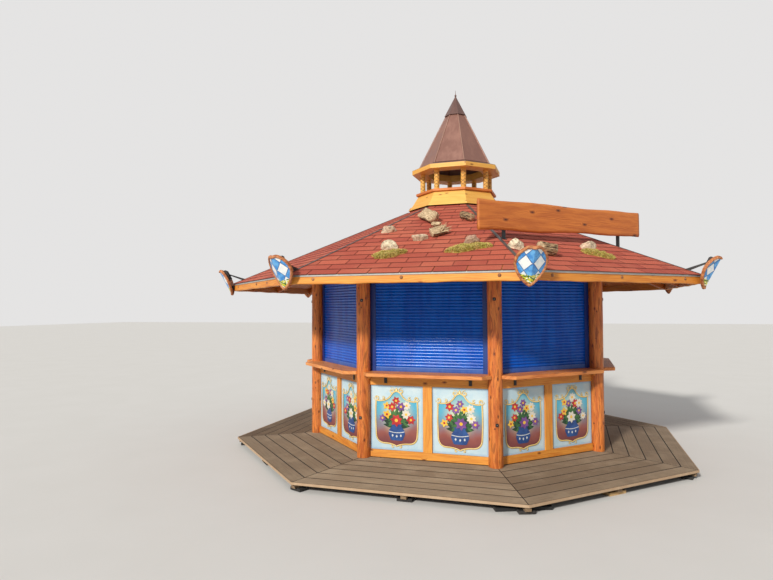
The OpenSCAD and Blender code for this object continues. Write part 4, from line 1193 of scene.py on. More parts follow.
def disc_outline(centre, r, steps=16):
    """Points of a round disc."""
    return [swing(centre, r, ROUND * i / steps) for i in range(steps)]


def petal(centre, angle, length, width, steps=12):
    """A leaf or petal that starts at centre and points along angle."""
    points = []
    for i in range(2 * steps):
        t = i / steps
        u, side = (t, 1) if t <= 1 else (2 - t, -1)
        out, across = u * length, side * width / 2 * math.sin(math.pi * u ** 0.8)
        points.append((centre[0] + out * math.cos(angle) - across * math.sin(angle),
                       centre[1] + out * math.sin(angle) + across * math.cos(angle)))
    return points


def bend(start, middle, end, steps=10):
    """A curve from start to end that leans towards middle."""
    points = []
    for i in range(steps + 1):
        t = i / steps
        a, b, c = (1 - t) ** 2, 2 * t * (1 - t), t * t
        points.append(tuple(a * start[k] + b * middle[k] + c * end[k] for k in (0, 1)))
    return points


def cartouche(w, h):
    """Outline of the shaded field: a keel below, straight sides and two hollow shoulders."""
    knots = [(0, -0.50), (0.10, -0.452), (0.27, -0.452), (0.465, -0.452), (0.465, -0.27), (0.485, 0.0),
             (0.465, 0.30), (0.22, 0.27), (0.12, 0.40), (0.07, 0.465), (0, 0.47)]
    knots = [(x * w, y * h) for x, y in knots]
    right = []
    for i in range(0, len(knots) - 2, 2):
        right += bend(*knots[i:i + 3])[:-1]
    return right + [knots[-1]] + [(-x, y) for x, y in reversed(right[1:])]


print("the field's outline has", len(cartouche(1, 1)), "points")

# %% [markdown]
# ## The painter's colours
# The boards have a pale blue ground that deepens towards its rim, and a field that is shaded
# from sky blue above to earth red below, with a soft glow behind the motif. Both are blended
# by hand on the real boards, so both are recipes on the flat drawing's own coordinates. The
# other colours are plain brushed enamels of two close tones.

# %% Ground and field
RIM_X, RIM_Y = 0.324, 0.381   # half the board's width and height

ground = Recipe("panel_ground", 0.4)
x, y, z = ground.parts(ground.on_part())
rim = ground.calc("MAXIMUM", ground.over(ground.size(x), RIM_X), ground.over(ground.size(y), RIM_Y))
mist = ground.noise(ground.here(), 5.0, 4.0, 0.6)
scuffs = ground.noise(ground.here(), 60.0, 4.0, 0.7)
pale = ground.cover(paint(180, 210, 224), paint(202, 222, 228), mist, 0.35, 0.7)
pale = ground.cover(pale, paint(104, 160, 208), rim, 0.9, 0.99, (0.0, 0.45))
ground.colour(ground.cover(pale, paint(220, 226, 226), scuffs, 0.68, 0.76, (0.0, 0.3)))
ground.bumps((ground.noise(ground.here(), (40, 40, 200)), 0.15))

field = Recipe("panel_field", 0.4)
x, y, z = field.parts(field.on_part())
cloud = field.times(field.minus(field.noise(field.here(), 7.0), 0.5), 0.35)
height = field.plus(field.over(y, 0.5), cloud)
glow_x = field.calc("POWER", field.times(x, 5.2), 2.0)
glow_y = field.calc("POWER", field.times(field.minus(y, 0.04), 4.2), 2.0)
glow = field.plus(field.calc("SQRT", field.plus(glow_x, glow_y)), cloud)
shade = field.cover(paint(150, 84, 74), paint(86, 176, 206), height, -0.42, 0.30)
shade = field.cover(shade, paint(112, 60, 66), height, -0.62, -0.28, (0.75, 0.0))
field.colour(field.cover(shade, paint(232, 226, 178), glow, 0.1, 1.25, (0.92, 0.0)))
field.bumps((field.noise(field.here(), (50, 50, 160)), 0.15))
print("ground has", len(ground.nodes), "nodes, field has", len(field.nodes))

# %% [markdown]
# Ten enamels are enough for flowers, leaves, jug and gold. They are all alike but for their
# two tones, so a list of names and tones makes them, and each gets a short name that says
# what it paints.

# %% Enamels
def enamel(name, main, other):
    """Brushed enamel: two close tones and fine brush marks."""
    coat = Recipe(name, 0.42)
    cloudy = coat.noise(coat.here(), 9.0, 4.0, 0.6)
    brush = coat.noise(coat.here(), (60, 60, 260))
    share = coat.plus(coat.times(cloudy, 0.7), coat.times(brush, 0.3))
    coat.colour(coat.cover(paint(*main), paint(*other), share, 0.35, 0.65))
    coat.bumps((brush, 0.12))
    return coat.material


PAINTS = [ground.material, field.material] + [enamel(*tones) for tones in (
    ("gold_line", (196, 150, 58), (226, 186, 92)),
    ("gold_light", (244, 226, 156), (250, 240, 190)),
    ("jug_blue", (30, 62, 120), (46, 88, 152)),
    ("jug_white", (208, 214, 216), (222, 224, 222)),
    ("leaf_green", (38, 84, 50), (74, 124, 62)),
    ("flower_red", (168, 30, 38), (206, 62, 56)),
    ("flower_white", (216, 210, 194), (226, 222, 210)),
    ("flower_yellow", (232, 178, 44), (246, 206, 84)),
    ("flower_violet", (104, 60, 128), (140, 92, 160)),
    ("leaf_shade", (20, 50, 36), (38, 72, 44)),
)]
GROUND, FIELD, GOLD, LIGHT, JUG, WHITE, LEAF, RED, SNOW, YELLOW, VIOLET, DARK = range(len(PAINTS))
print("the painter has", len(PAINTS), "colours")

# %% [markdown]
# ## A bouquet on every board
# The motif is a plain folk bouquet: dark leaves, stems, a blue jug and bright blooms. The
# painter works from back to front and never twice alike, so every board draws its angles,
# lengths and flowers from a random row of its own. Places and reaches are shares of the
# field's width and height, and lines and petals have widths of their own.

# %% Lay paint on a board
LAYER = 0.00007   # metres from one shape to the next, less than a tenth of a millimetre


class Board:
    """One painted board: each shape lies a hair over the last."""

    def __init__(self, pile, place):
        self.pile, self.place, self.depth = pile, place, 0.0

    def lay(self, points, faces, colour):
        self.depth += LAYER
        self.pile.add([(x, y, self.depth) for x, y in points], faces, self.place, coat=colour)

    def fill(self, points, colour):
        self.lay(points, [list(range(len(points)))], colour)

    def line(self, points, width, colour, taper=False):
        self.lay(*stroke(points, width, taper), colour)


print("shapes lie", LAYER * 1000, "mm apart")

# %% [markdown]
# The bouquet could be one flat picture, but then its edges would blur close up. Made of
# petals, stems and a jug, it stays sharp, and every bloom can differ.

# %% Jug, leaves and blooms
def bloom(board, centre, size, colour, heart, petals, turn):
    """Petals round a heart."""
    for i in range(petals):
        board.fill(petal(centre, turn + ROUND * i / petals, size, size * 0.62), colour)
    board.fill(disc_outline(centre, size * 0.26), heart)


def greenery(board, chance, mouth, w, h):
    """Dark leaves, then stems with two leaves each. Returns the stems' tips."""
    for i in range(11):
        a = math.pi * (0.02 + 0.96 * i / 10) + chance.uniform(-0.05, 0.05)
        board.fill(petal(mouth, a, (0.30 + 0.10 * math.sin(a)) * w, 0.062), DARK)
    tips = []
    for i in range(9):
        a = math.pi * (0.06 + 0.88 * i / 8) + chance.uniform(-0.05, 0.05)
        reach = (0.33 if i % 2 else 0.43) * w * chance.uniform(0.9, 1.04)
        tip = (reach * 0.82 * math.cos(a), mouth[1] + 0.04 * h + reach * 1.22 * math.sin(a))
        tips.append(tip)
        stem = bend(mouth, (tip[0] * 0.2, (mouth[1] + tip[1]) / 2), tip)
        board.line(stem, 0.007, LEAF)
        for at, side in ((4, 1), (6, -1)):
            board.fill(petal(stem[at], a + side * 0.9, 0.080, 0.032), LEAF)
    return tips


def jug(board, foot, wide, high):
    """A belly jug with a white band and three white lozenges."""
    profile = ((0.62, 0.0), (0.74, 0.05), (1.0, 0.38), (0.94, 0.62), (0.6, 0.84), (0.58, 0.93), (0.74, 1.0))
    right = [(wide * x, foot + high * y) for x, y in profile]
    board.fill(right + [(-x, y) for x, y in reversed(right)], JUG)
    band = foot + high * 0.55
    board.line(bend((-wide * 0.95, band), (0, band - 0.03), (wide * 0.95, band)), 0.008, WHITE)
    for i in (-1, 0, 1):
        x, y = i * wide * 0.5, foot + high * (0.3 if i else 0.26)
        board.fill([(x, y - 0.018), (x + 0.012, y), (x, y + 0.018), (x - 0.012, y)], WHITE)


def bouquet(board, chance, w, h):
    """Jug, stems, leaves and blooms, all a little different on each board."""
    foot, jug_w, jug_h = -0.40 * h, 0.19 * w * chance.uniform(0.9, 1.1), 0.29 * h
    mouth = (0.0, foot + jug_h * 0.88)
    tips = greenery(board, chance, mouth, w, h)
    jug(board, foot, jug_w, jug_h)
    kinds = [(RED, YELLOW, 6), (SNOW, YELLOW, 8), (YELLOW, RED, 5), (VIOLET, YELLOW, 6)]
    first = chance.randrange(4)
    for i, tip in enumerate(sorted(tips, key=lambda p: -p[1])):
        bloom(board, tip, chance.uniform(0.046, 0.060), *kinds[(first + i) % 4], chance.uniform(0, 1))
    colour, heart, petals = kinds[first]
    bloom(board, (chance.uniform(-0.02, 0.02), mouth[1] + 0.10 * h), 0.076, colour, heart, 7, 0.3)


print("a bloom's petal has", len(petal((0, 0), 0, 1, 1)), "points")

# %% [markdown]
# ## Gold scrolls and the finished boards
# A gold line frames the field, with a bright line in its middle, and scrolls grow from its
# crest, its shoulders and its keel. A scroll is one tapered stroke along a spiral. Then all
# sixteen boards are painted and set between the posts and the stiles.

# %% Paint the panels
PANEL_W, PANEL_H, PANEL_T = 0.6475, 0.7624, 0.018
STILE_HALF, RAIL_H, SEAT = 0.0543, 0.092, 0.0003
PANEL_X = STILE_HALF + PANEL_W / 2
PANEL_Z = DECK_TOP + RAIL_H + SEAT + PANEL_H / 2
PANEL_OUT = WALL - 0.020
FIELD_W, FIELD_H = 0.545, 0.665
SCROLLS = (   # centre, size, start, turns and hand, on the right half
    ((0.105 * FIELD_W, 0.478 * FIELD_H), 0.036, 3.4, 1.35, -1),
    ((0.455 * FIELD_W, 0.345 * FIELD_H), 0.034, 4.4, 1.3, 1),
    ((0.30 * FIELD_W, 0.345 * FIELD_H), 0.020, 1.0, 1.0, -1),
    ((0.045, -0.505 * FIELD_H), 0.018, 2.6, 0.9, 1),
)


def gold_scrolls(board, w, h):
    """The gold line round the field, with scrolls on its crest, its shoulders and its keel."""
    rim = cartouche(w, h)
    rim.append(rim[0])
    board.line(rim, 0.015, GOLD)
    board.line([(x * 0.990, y * 0.990) for x, y in rim], 0.005, LIGHT)
    for side in (-1, 1):
        for (x, y), size, start, turns, flip in SCROLLS:
            line = scroll((side * x, y), size, start if side > 0 else math.pi - start, turns, flip * side)
            board.line(line, 0.014, GOLD, taper=True)
            board.line(line, 0.005, LIGHT, taper=True)
    board.fill(petal((0, 0.460 * h), math.pi / 2, 0.050, 0.032), GOLD)
    board.fill(petal((0, 0.468 * h), math.pi / 2, 0.034, 0.014), LIGHT)


panel_outline = [(x * PANEL_W / 2, y * PANEL_H / 2) for x, y in ((-1, -1), (1, -1), (1, 1), (-1, 1))]
panels = Pile(seed=61, spread=0.0)
for bay in range(BAYS):
    for side in (-1, 1):
        place = wall_place(bay, side * PANEL_X, PANEL_OUT, PANEL_Z)
        panels.skin(plank(panel_outline, -PANEL_T, 0.0, 0.0015), place, coat=GROUND)
        board = Board(panels, place)
        board.fill(cartouche(FIELD_W, FIELD_H), FIELD)
        bouquet(board, random.Random(100 + bay * 2 + side), FIELD_W, FIELD_H)
        gold_scrolls(board, FIELD_W, FIELD_H)
painted = panels.make("painted_panels", PAINTS)
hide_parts("parapet_panels")

# %% [markdown]
# ## Corner shields
# A folded wooden shield leans out over each corner of the eave. It carries the blue and white
# lozenges that are traditional in the Alps, over a strip of painted flowers, inside a rim like
# a thick twisted rope. The lozenges come from two slanting coordinates: where their rounded
# values add up to an odd number the paint is white. The rope is a tube whose section has two
# lobes that turn as it goes round.

# %% Shape of a shield
SHIELD_W, SHIELD_H, SHIELD_T, RIM_W = 0.336, 0.396, 0.018, 0.030
FACE_LIFT = 0.0005
LEAN = math.radians(28)
SHIELD_TIP_R, SHIELD_TIP_Z = EAVE_R + 0.006, EAVE_Z - FASCIA_H - 0.050


def bowed(start, end, bulge, steps):
    """A bowed line without its last point; bulge is a share of its length."""
    points = []
    for i in range(steps):
        t = i / steps
        dx, dy = end[0] - start[0], end[1] - start[1]
        b = 4 * t * (1 - t) * bulge
        points.append((start[0] + t * dx + b * dy, start[1] + t * dy - b * dx))
    return points


def shield_half(inset, finer=3):
    """Right half of the shield's outline, from its tip to its top."""
    tip = (0.0, 1.4 * inset)
    side = (SHIELD_W / 2 - inset, SHIELD_H * 0.52)
    notch = (SHIELD_W * 0.27 - inset * 0.7, SHIELD_H * 0.94 - inset * 0.8)
    top = (0.0, SHIELD_H - inset)
    lower = bowed(tip, side, 0.11, 6 * finer) + bowed(side, notch, 0.127, 5 * finer)
    return lower + bowed(notch, top, 0.14, 4 * finer) + [top]


def on_wing(point, side, lift):
    """A point of the flat drawing on one wing of the fold, lifted off its back."""
    x = max(point[0], 0.0) - (lift * FLARE if point[0] <= 1e-6 else 0.0)
    return (side * (x * math.cos(HALF) + lift * math.sin(HALF)), x * math.sin(HALF) - lift * math.cos(HALF),
            point[1])


print("half a shield has", len(shield_half(0.0)), "points")

# %% [markdown]
# The lozenges, the line round each and the flower strip are one material, worked out from the
# flat drawing of the shield. The flowers are small random cells in yellow, green and cream,
# which is all that shows of a painted strip at that size. The rope rim is plain stained wood.

# %% Shield paint and rope wood
LOZENGE_W, LOZENGE_H, LOZENGE_Z = 0.132, 0.154, 0.309

lozenges = Recipe("shield_lozenges", 0.38)
on_shield = lozenges.on_part()
x, y, z = lozenges.parts(on_shield)
slant = lozenges.over(x, LOZENGE_W)
climb = lozenges.over(lozenges.minus(y, LOZENGE_Z), LOZENGE_H)
ways = [lozenges.plus(slant, climb), lozenges.minus(slant, climb)]
cells = [lozenges.calc("FLOOR", lozenges.plus(way, 0.5)) for way in ways]
odd = lozenges.size(lozenges.calc("MODULO", lozenges.plus(*cells), 2.0))
edges = [lozenges.size(lozenges.minus(way, cell)) for way, cell in zip(ways, cells)]
lined = lozenges.step(lozenges.calc("MAXIMUM", *edges), 0.455, 0.475)
cloudy = lozenges.noise(lozenges.here(), 22.0, 4.0)
blue = lozenges.cover(paint(58, 132, 206), paint(108, 178, 232), cloudy, 0.35, 0.65)
white = lozenges.cover(paint(244, 244, 240), paint(218, 228, 236), cloudy, 0.4, 0.7)
lozenge = lozenges.cover(blue, white, odd, 0.4, 0.6)
lozenge = lozenges.mix(lozenges.times(lined, 0.85), lozenge, paint(34, 74, 140))
flowers = lozenges.node("TexVoronoi", {"voronoi_dimensions": "2D"}, Vector=on_shield, Scale=84.0)
hue = lozenges.parts(flowers.outputs["Color"])
meadow = lozenges.cover(paint(206, 204, 60), paint(56, 98, 40), hue["X"], 0.5, 0.52)
meadow = lozenges.cover(meadow, paint(244, 240, 214), hue["Y"], 0.8, 0.82)
wavy = lozenges.plus(y, lozenges.times(lozenges.noise(on_shield, 34.0), 0.05))
lozenges.colour(lozenges.cover(lozenge, meadow, wavy, 0.138, 0.144, (1.0, 0.0)))
lozenges.bumps((cloudy, 0.4))

rope_wood = Recipe("rope_rim", 0.55)
lay = rope_wood.noise(rope_wood.here(), 30.0, 4.0, 0.6)
nicks = rope_wood.noise(rope_wood.here(), 190.0)
tan_brown = rope_wood.cover(paint(158, 88, 48), paint(206, 138, 88), lay, 0.35, 0.65)
rope_wood.colour(rope_wood.cover(tan_brown, paint(104, 54, 30), nicks, 0.55, 0.75, (0.0, 0.5)))
rope_wood.bumps((nicks, 0.6))
print("the shield paint has", len(lozenges.nodes), "nodes")

# %% [markdown]
# The rope is laid along the shield's rim, ring after ring. At each point it needs two
# directions square to its path, one sideways and one outwards. In each length of the rope's
# lay the two lobes make half a turn. The last ring is joined to the first one.

# %% Carve the shields
ROPE_R, ROPE_LAY, ROPE_POINTS = 0.0128, 0.040, 18


def rope(loop):
    """Rings and grain of a twisted rope along a closed line."""
    rings, grain, run = [], [], 0.0
    for i in range(len(loop)):
        here, ahead, behind = Vector(loop[i]), Vector(loop[(i + 1) % len(loop)]), Vector(loop[i - 1])
        step = (ahead - behind).normalized()
        sideways = step.cross(Vector((0, -1, 0))).normalized()
        out = sideways.cross(step)
        run += (here - behind).length
        ring = []
        for j in range(ROPE_POINTS):
            a = ROUND * j / ROPE_POINTS
            lobes = 0.13 * math.cos(2 * a - ROUND * run / ROPE_LAY)
            r = ROPE_R * (1 + lobes + 0.03 * noise.noise(here * 60))
            ring.append(here + sideways * r * math.cos(a) + out * r * math.sin(a) * 0.95)
            grain.append((run, a * ROPE_R, 0))
        rings.append(ring)
    return rings, grain


shields = Pile(seed=71, spread=0.0)
ropes = Pile(seed=72, spread=0.0)
face_half = shield_half(RIM_W * 0.5)
rim_half = shield_half(RIM_W / 2, finer=12)
right_rim, left_rim = [[on_wing(p, side, SHIELD_T + FACE_LIFT) for p in rim_half] for side in (1, -1)]
rings, grain = rope(right_rim + left_rim[-2:0:-1])
corners, faces = tube(rings)
n, last = ROPE_POINTS, (len(rings) - 1) * ROPE_POINTS
closing = [[last + j, last + (j + 1) % n, (j + 1) % n, j] for j in range(n)]
for corner in range(BAYS):
    place = corner_place(corner, SHIELD_TIP_R, SHIELD_TIP_Z) @ spin(LEAN, "X")
    for side in (-1, 1):
        layers = ((0.0, 0.001), (0.003, 0.0), (SHIELD_T, 0.0))   # lift and inset
        shields.skin([[on_wing(p, side, lift) for p in shield_half(inset)] for lift, inset in layers],
                     place, coat=1)
        face = [on_wing(p, side, SHIELD_T + FACE_LIFT) for p in face_half]
        shields.add(face, [list(range(len(face)))], place, grain=[(side * x, y, 0) for x, y in face_half])
    ropes.add(corners, faces[:-2] + closing, place, grain=grain)
shield_boards = shields.make("shield_boards", [lozenges.material, rope_wood.material])
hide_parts("corner_shields")
rope_rims = ropes.make("rope_rims", [rope_wood.material], smooth=True)
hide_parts("corner_shields")

# %% [markdown]
# ## Lantern posts with crossing cuts
# The eight posts of the lantern are turned columns with cuts that wind round them both ways
# and cross, with a narrow ring at half height. In each direction round the post the nearer
# of the two windings decides how deep the cut is. The cuts are painted darker than the rest,
# as painted shade in the grooves.

# %% Carve the lantern posts
LANTERN_RING = 0.500
COLUMN_R, CUTS, TURN_H = 0.038, 3, 0.150
COLUMN_STEPS, COLUMN_POINTS = 110, 42
COLUMN_END = 0.004


def rise(value, start, width):
    """0 up to start, then straight up to 1 over width."""
    return min(1.0, max(0.0, (value - start) / width))


def column(high):
    """Rings and grain of one post, and whether each point lies in a cut."""
    rings, grain, shade = [], [], []
    inner = [COLUMN_END + i * (high - 2 * COLUMN_END) / COLUMN_STEPS for i in range(1, COLUMN_STEPS)]
    for z in [0, COLUMN_END] + inner + [high - COLUMN_END, high]:
        end, mid = min(z, high - z), abs(z - high / 2)
        twist = rise(end, 0.020, 0.012) * rise(mid, 0.007, 0.008)
        r0 = COLUMN_R - 0.0035 * twist - (0.003 if end < 0.002 else 0.0)
        neck = 0.006 * math.exp(-((end - 0.024) / 0.003) ** 2)
        r0 -= neck + 0.004 * math.exp(-((mid - 0.009) / 0.0025) ** 2)
        ring = []
        for j in range(COLUMN_POINTS):
            a = ROUND * j / COLUMN_POINTS
            climb = math.pi * CUTS * z / TURN_H
            cut = min(abs(math.sin(CUTS * a / 2 - climb)), abs(math.sin(CUTS * a / 2 + climb)))
            groove = twist * max(0.0, 1 - cut / 0.30)
            r = r0 + 0.003 * twist - 0.0055 * groove
            ring.append((r * math.cos(a), r * math.sin(a), z))
            grain.append((z, a * COLUMN_R, 0))
            shade.append(groove > 0.25)
        rings.append(ring)
    return rings, grain, shade


column_low, column_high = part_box("lantern_posts")
rings, grain, shade = column(column_high.z - column_low.z)
columns = Pile(seed=81)
for corner in range(BAYS):
    start, faces = columns.skin(rings, corner_place(corner, LANTERN_RING, column_low.z), grain=grain)
    columns.recoat(start, [k for k, face in enumerate(faces[:-2]) if sum(shade[i] for i in face) >= 3])
straw_part = timber("straw_timber_part", STRAW, ring=30.0)
# Painted shade for the grooves of the cuts.
cut_shade = timber("cut_shade", stain((120, 62, 26), (70, 34, 16), (40, 20, 12)))
twisted = columns.make("twisted_posts", [straw_part, cut_shade], smooth=True)
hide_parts("lantern_posts")

# %% [markdown]
# ## Field stones
# Six stones lie on the roof, as they do on old mountain huts. A broken stone is a body
# between flat breaks, so its surface is found from a set of tilted planes: in each direction
# the nearest plane decides. A little noise on top takes the edges off the breaks. The lower
# side is cut flat, so that each stone sits on the shingles.

# %% Break the stones
STONE_BREAKS, STONE_AROUND, STONE_STEPS = 17, 56, 34
SIDES = ((1, 0, 0), (-1, 0, 0), (0, 1, 0), (0, -1, 0), (0, 0, 1), (0, 0, -1))


def nearest_break(direction, size, breaks):
    """Distance from a stone's middle to its surface in one direction."""
    best = 9.0
    for normal, share in breaks:
        facing = normal.dot(direction)
        if facing > 0.05:
            reach = math.sqrt(sum((normal[i] * size[i]) ** 2 for i in range(3))) * share
            best = min(best, reach / facing)
    return best


def stone(pile, place, long, wide, high, seed, tone):
    """A broken stone that lies on Z = 0."""
    draw = random.Random(seed).uniform
    breaks = [(Vector((draw(-1, 1), draw(-1, 1), draw(-0.5, 1))).normalized(), draw(0.70, 0.95))
              for _ in range(STONE_BREAKS)]
    breaks += [(Vector(normal), 0.97) for normal in SIDES]
    size = (long / 2, wide / 2, high * 0.62)
    rings = []
    for i in range(1, STONE_STEPS):
        up = -math.pi / 2 + math.pi * i / STONE_STEPS
        ring = []
        for j in range(STONE_AROUND):
            a = ROUND * j / STONE_AROUND
            way = Vector((math.cos(a) * math.cos(up), math.sin(a) * math.cos(up), math.sin(up)))
            p = way * nearest_break(way, size, breaks)
            rough = 0.0050 * noise.noise(p * 20 + Vector((seed, 0, 0))) + 0.0030 * noise.noise(p * 55)
            rough -= 0.005 * max(0.0, 0.25 - abs(noise.noise(p * 14 + Vector((0, seed, 0))))) / 0.25
            p = p + way * rough
            p.z = max(p.z + high * 0.40, -0.002)
            ring.append(tuple(p))
        rings.append(ring)
    pile.skin(rings, place, tone=tone)


def on_roof(bay, s, up, turn, lift=0.0065):
    """A place on the shingles; s and up are shares of the eave's half length and the slope."""
    return roof_place(bay) @ shift(s * EAVE * FLARE, up * SLOPE_LEN, lift) @ spin(math.radians(turn))


stones = Pile(seed=91)
for order, (bay, s, up, turn, size, tone) in enumerate((
    (0, -0.41, 0.53, 0, (0.211, 0.130, 0.068), 0.35),
    (0, -0.257, 0.28, 0, (0.224, 0.150, 0.104), 0.95),
    (0, 0.476, 0.325, 0, (0.182, 0.130, 0.083), 0.10),
    (0, -0.03, 0.39, 0, (0.200, 0.110, 0.070), 0.45),
    (1, -0.73, 0.239, -27, (0.180, 0.140, 0.103), 0.85),
    (1, 0.178, 0.272, -27, (0.180, 0.150, 0.107), 0.70),
)):
    stone(stones, on_roof(bay, s, up, turn), *size, seed=order * 7 + 3, tone=tone)
print("stones have", len(stones.corners), "corners")

# %% [markdown]
# The stones are alike in kind and not in colour: some are nearly white, some brown. So each
# one's tone is given with its size. Veins, dark specks and cracks lie over it, and the cracks
# are lines where a noise passes through its middle value.

# %% Stone finish
rock = Recipe("field_stone", 0.88)
spot = rock.on_part()
veins = rock.noise(spot, 16.0, 6.0, 0.65)
speck = rock.noise(spot, 130.0, 3.0, 0.6)
crack = rock.size(rock.minus(rock.noise(spot, 13.0, 5.0, 0.6), 0.5))
body = rock.mix(rock.tone(), paint(184, 138, 118), paint(250, 238, 206))
body = rock.cover(body, paint(176, 152, 122), veins, 0.42, 0.60, (0.0, 0.7))
body = rock.cover(body, paint(104, 90, 74), speck, 0.54, 0.68, (0.0, 0.6))
body = rock.cover(body, paint(74, 60, 46), crack, 0.0, 0.022, (0.75, 0.0))
rock.colour(rock.cover(body, paint(246, 238, 212), speck, 0.30, 0.40, (0.5, 0.0)))
rock.bumps((veins, 4.0), (rock.step(crack, 0.0, 0.03), 2.0), (speck, 1.5))
field_stones = stones.make("field_stones", [rock.material], smooth=True, crease=24)
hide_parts("roof_stones")

# %% [markdown]
# ## Moss cushions
# Below three of the stones lie cushions of dry moss. Moss is a crowd of tiny upright shoots,
# so a low lumpy cushion is made first, and some thousands of small curved blades are set on
# it. Each blade is two faces, cheap enough to have many. Their tone runs from straw through
# yellow green to olive, which gives the speckled look that one colour cannot.

# %% Grow the moss
MOSS_AROUND, MOSS_STEPS = 48, 12
MOSS_T = 0.046


def lobes(a, seed):
    """How far a cushion's outline bulges in one direction."""
    waves = 0.10 * math.sin(3 * a + seed) + 0.07 * math.sin(5 * a + 2.1 * seed)
    return 1 + waves + 0.05 * math.sin(8 * a + seed * 0.7)


def cushion_height(x, y, long, wide, seed):
    """The height of a cushion over one point, or None outside it."""
    a = math.atan2(y / wide, x / long)
    far = math.hypot(x / (long / 2), y / (wide / 2)) / lobes(a, seed)
    if far >= 1:
        return None
    lumps = 0.72 + 0.36 * noise.noise(Vector((x * 24, y * 24, seed)))
    return MOSS_T * (1 - far ** 3.2) ** 0.6 * lumps


def cushion(pile, place, long, wide, seed):
    """The low lumpy body under the shoots."""
    rings = []
    for j in range(MOSS_STEPS, -1, -1):
        far = 0.02 + 0.98 * j / MOSS_STEPS
        ring = []
        for i in range(MOSS_AROUND):
            a = ROUND * i / MOSS_AROUND
            ex, ey = math.cos(a) * long / 2, math.sin(a) * wide / 2
            bulge = lobes(math.atan2(ey / wide, ex / long), seed)
            x, y = ex * far * bulge * 0.995, ey * far * bulge * 0.995
            ring.append((x, y, cushion_height(x, y, long, wide, seed) or 0.0))
        rings.append(ring)
    pile.skin(rings, place, tone=0.25)


print("a cushion is", round(1000 * cushion_height(0.0, 0.0, 0.37, 0.19, 7)), "mm high")

# %% [markdown]
# The shoots are thrown on the cushion at random, and those that miss it are thrown again. A
# hair system would be another way, but it wouldn't be a mesh that every program can read.

# %% Set the shoots
def shoots(pile, place, long, wide, seed, blades):
    """Small curved blades on a cushion, each of two faces."""
    draw = random.Random(seed).uniform
    made = 0
    while made < blades:
        x, y = draw(-0.6, 0.6) * long, draw(-0.6, 0.6) * wide
        z = cushion_height(x, y, long, wide, seed)
        if z is None:
            continue
        made += 1
        turn, tall, lean = draw(0, 6.3), draw(0.010, 0.022), draw(0.2, 1.1)
        side = Vector((math.cos(turn), math.sin(turn), 0)) * draw(0.0012, 0.0028)
        way = Vector((-math.sin(turn), math.cos(turn), 0)) * lean * tall
        root = Vector((x, y, z - 0.002))
        mid, tip = root + way * 0.4 + Vector((0, 0, tall * 0.65)), root + way + Vector((0, 0, tall))
        blade = [root - side, root + side, mid + side * 0.8, mid - side * 0.8, tip]
        pile.add(blade, [[0, 1, 2, 3], [3, 2, 4]], place)


cushions = Pile(seed=101)
for place, long, wide, seed, blades in (
    (on_roof(0, -0.208, 0.196, 26), 0.37, 0.19, 7, 7500),
    (on_roof(0, 0.464, 0.240, 18), 0.50, 0.175, 8, 8500),
    (on_roof(1, 0.135, 0.200, -38), 0.37, 0.19, 9, 7500),
):
    cushion(cushions, place, long, wide, seed)
    shoots(cushions, place, long, wide, seed, blades)

green = Recipe("dry_moss", 0.95)
patches = green.noise(green.here(), 26.0)
rusty = green.noise(green.here(), 60.0)
shoot = green.cover(paint(146, 124, 52), paint(252, 232, 150), green.tone(), 0.05, 0.95)
shoot = green.cover(shoot, paint(186, 186, 80), patches, 0.44, 0.60, (0.0, 0.6))
green.colour(green.cover(shoot, paint(214, 150, 92), rusty, 0.56, 0.66, (0.0, 0.7)))
green.bumps((green.noise(green.here(), 300.0), 1.0))
moss_piece = cushions.make("moss_cushions", [green.material])
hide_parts("roof_moss")

# %% [markdown]
# ## Logs and driftwood
# The logs have thick furrowed bark, and pale wood where they were sawn or split. Furrows run
# along the log, branch and join again, which is what noise does when it is stretched along
# the axis and its absolute value is taken. The split pieces are cut by a slanting plane, with
# long fibres torn along it. Splinters stick out of the stump's torn end.

# %% Shape the logs
BARK_AROUND, BARK_STEPS = 72, 60
BARK_DEPTH, END_ROUND = 0.011, 0.006
BARK_T = 0.010   # how much thinner a log is where its bark is gone


def furrow(a, along_log, seed):
    """Depth of the bark's furrows, 0 on a ridge and 1 in a furrow."""
    p = Vector((math.cos(a) * 3.2 + seed, math.sin(a) * 3.2, along_log * 7))
    return 1 - min(1.0, abs(noise.noise(p) * 3.4 + 0.9 * noise.noise(p * 2.3)))


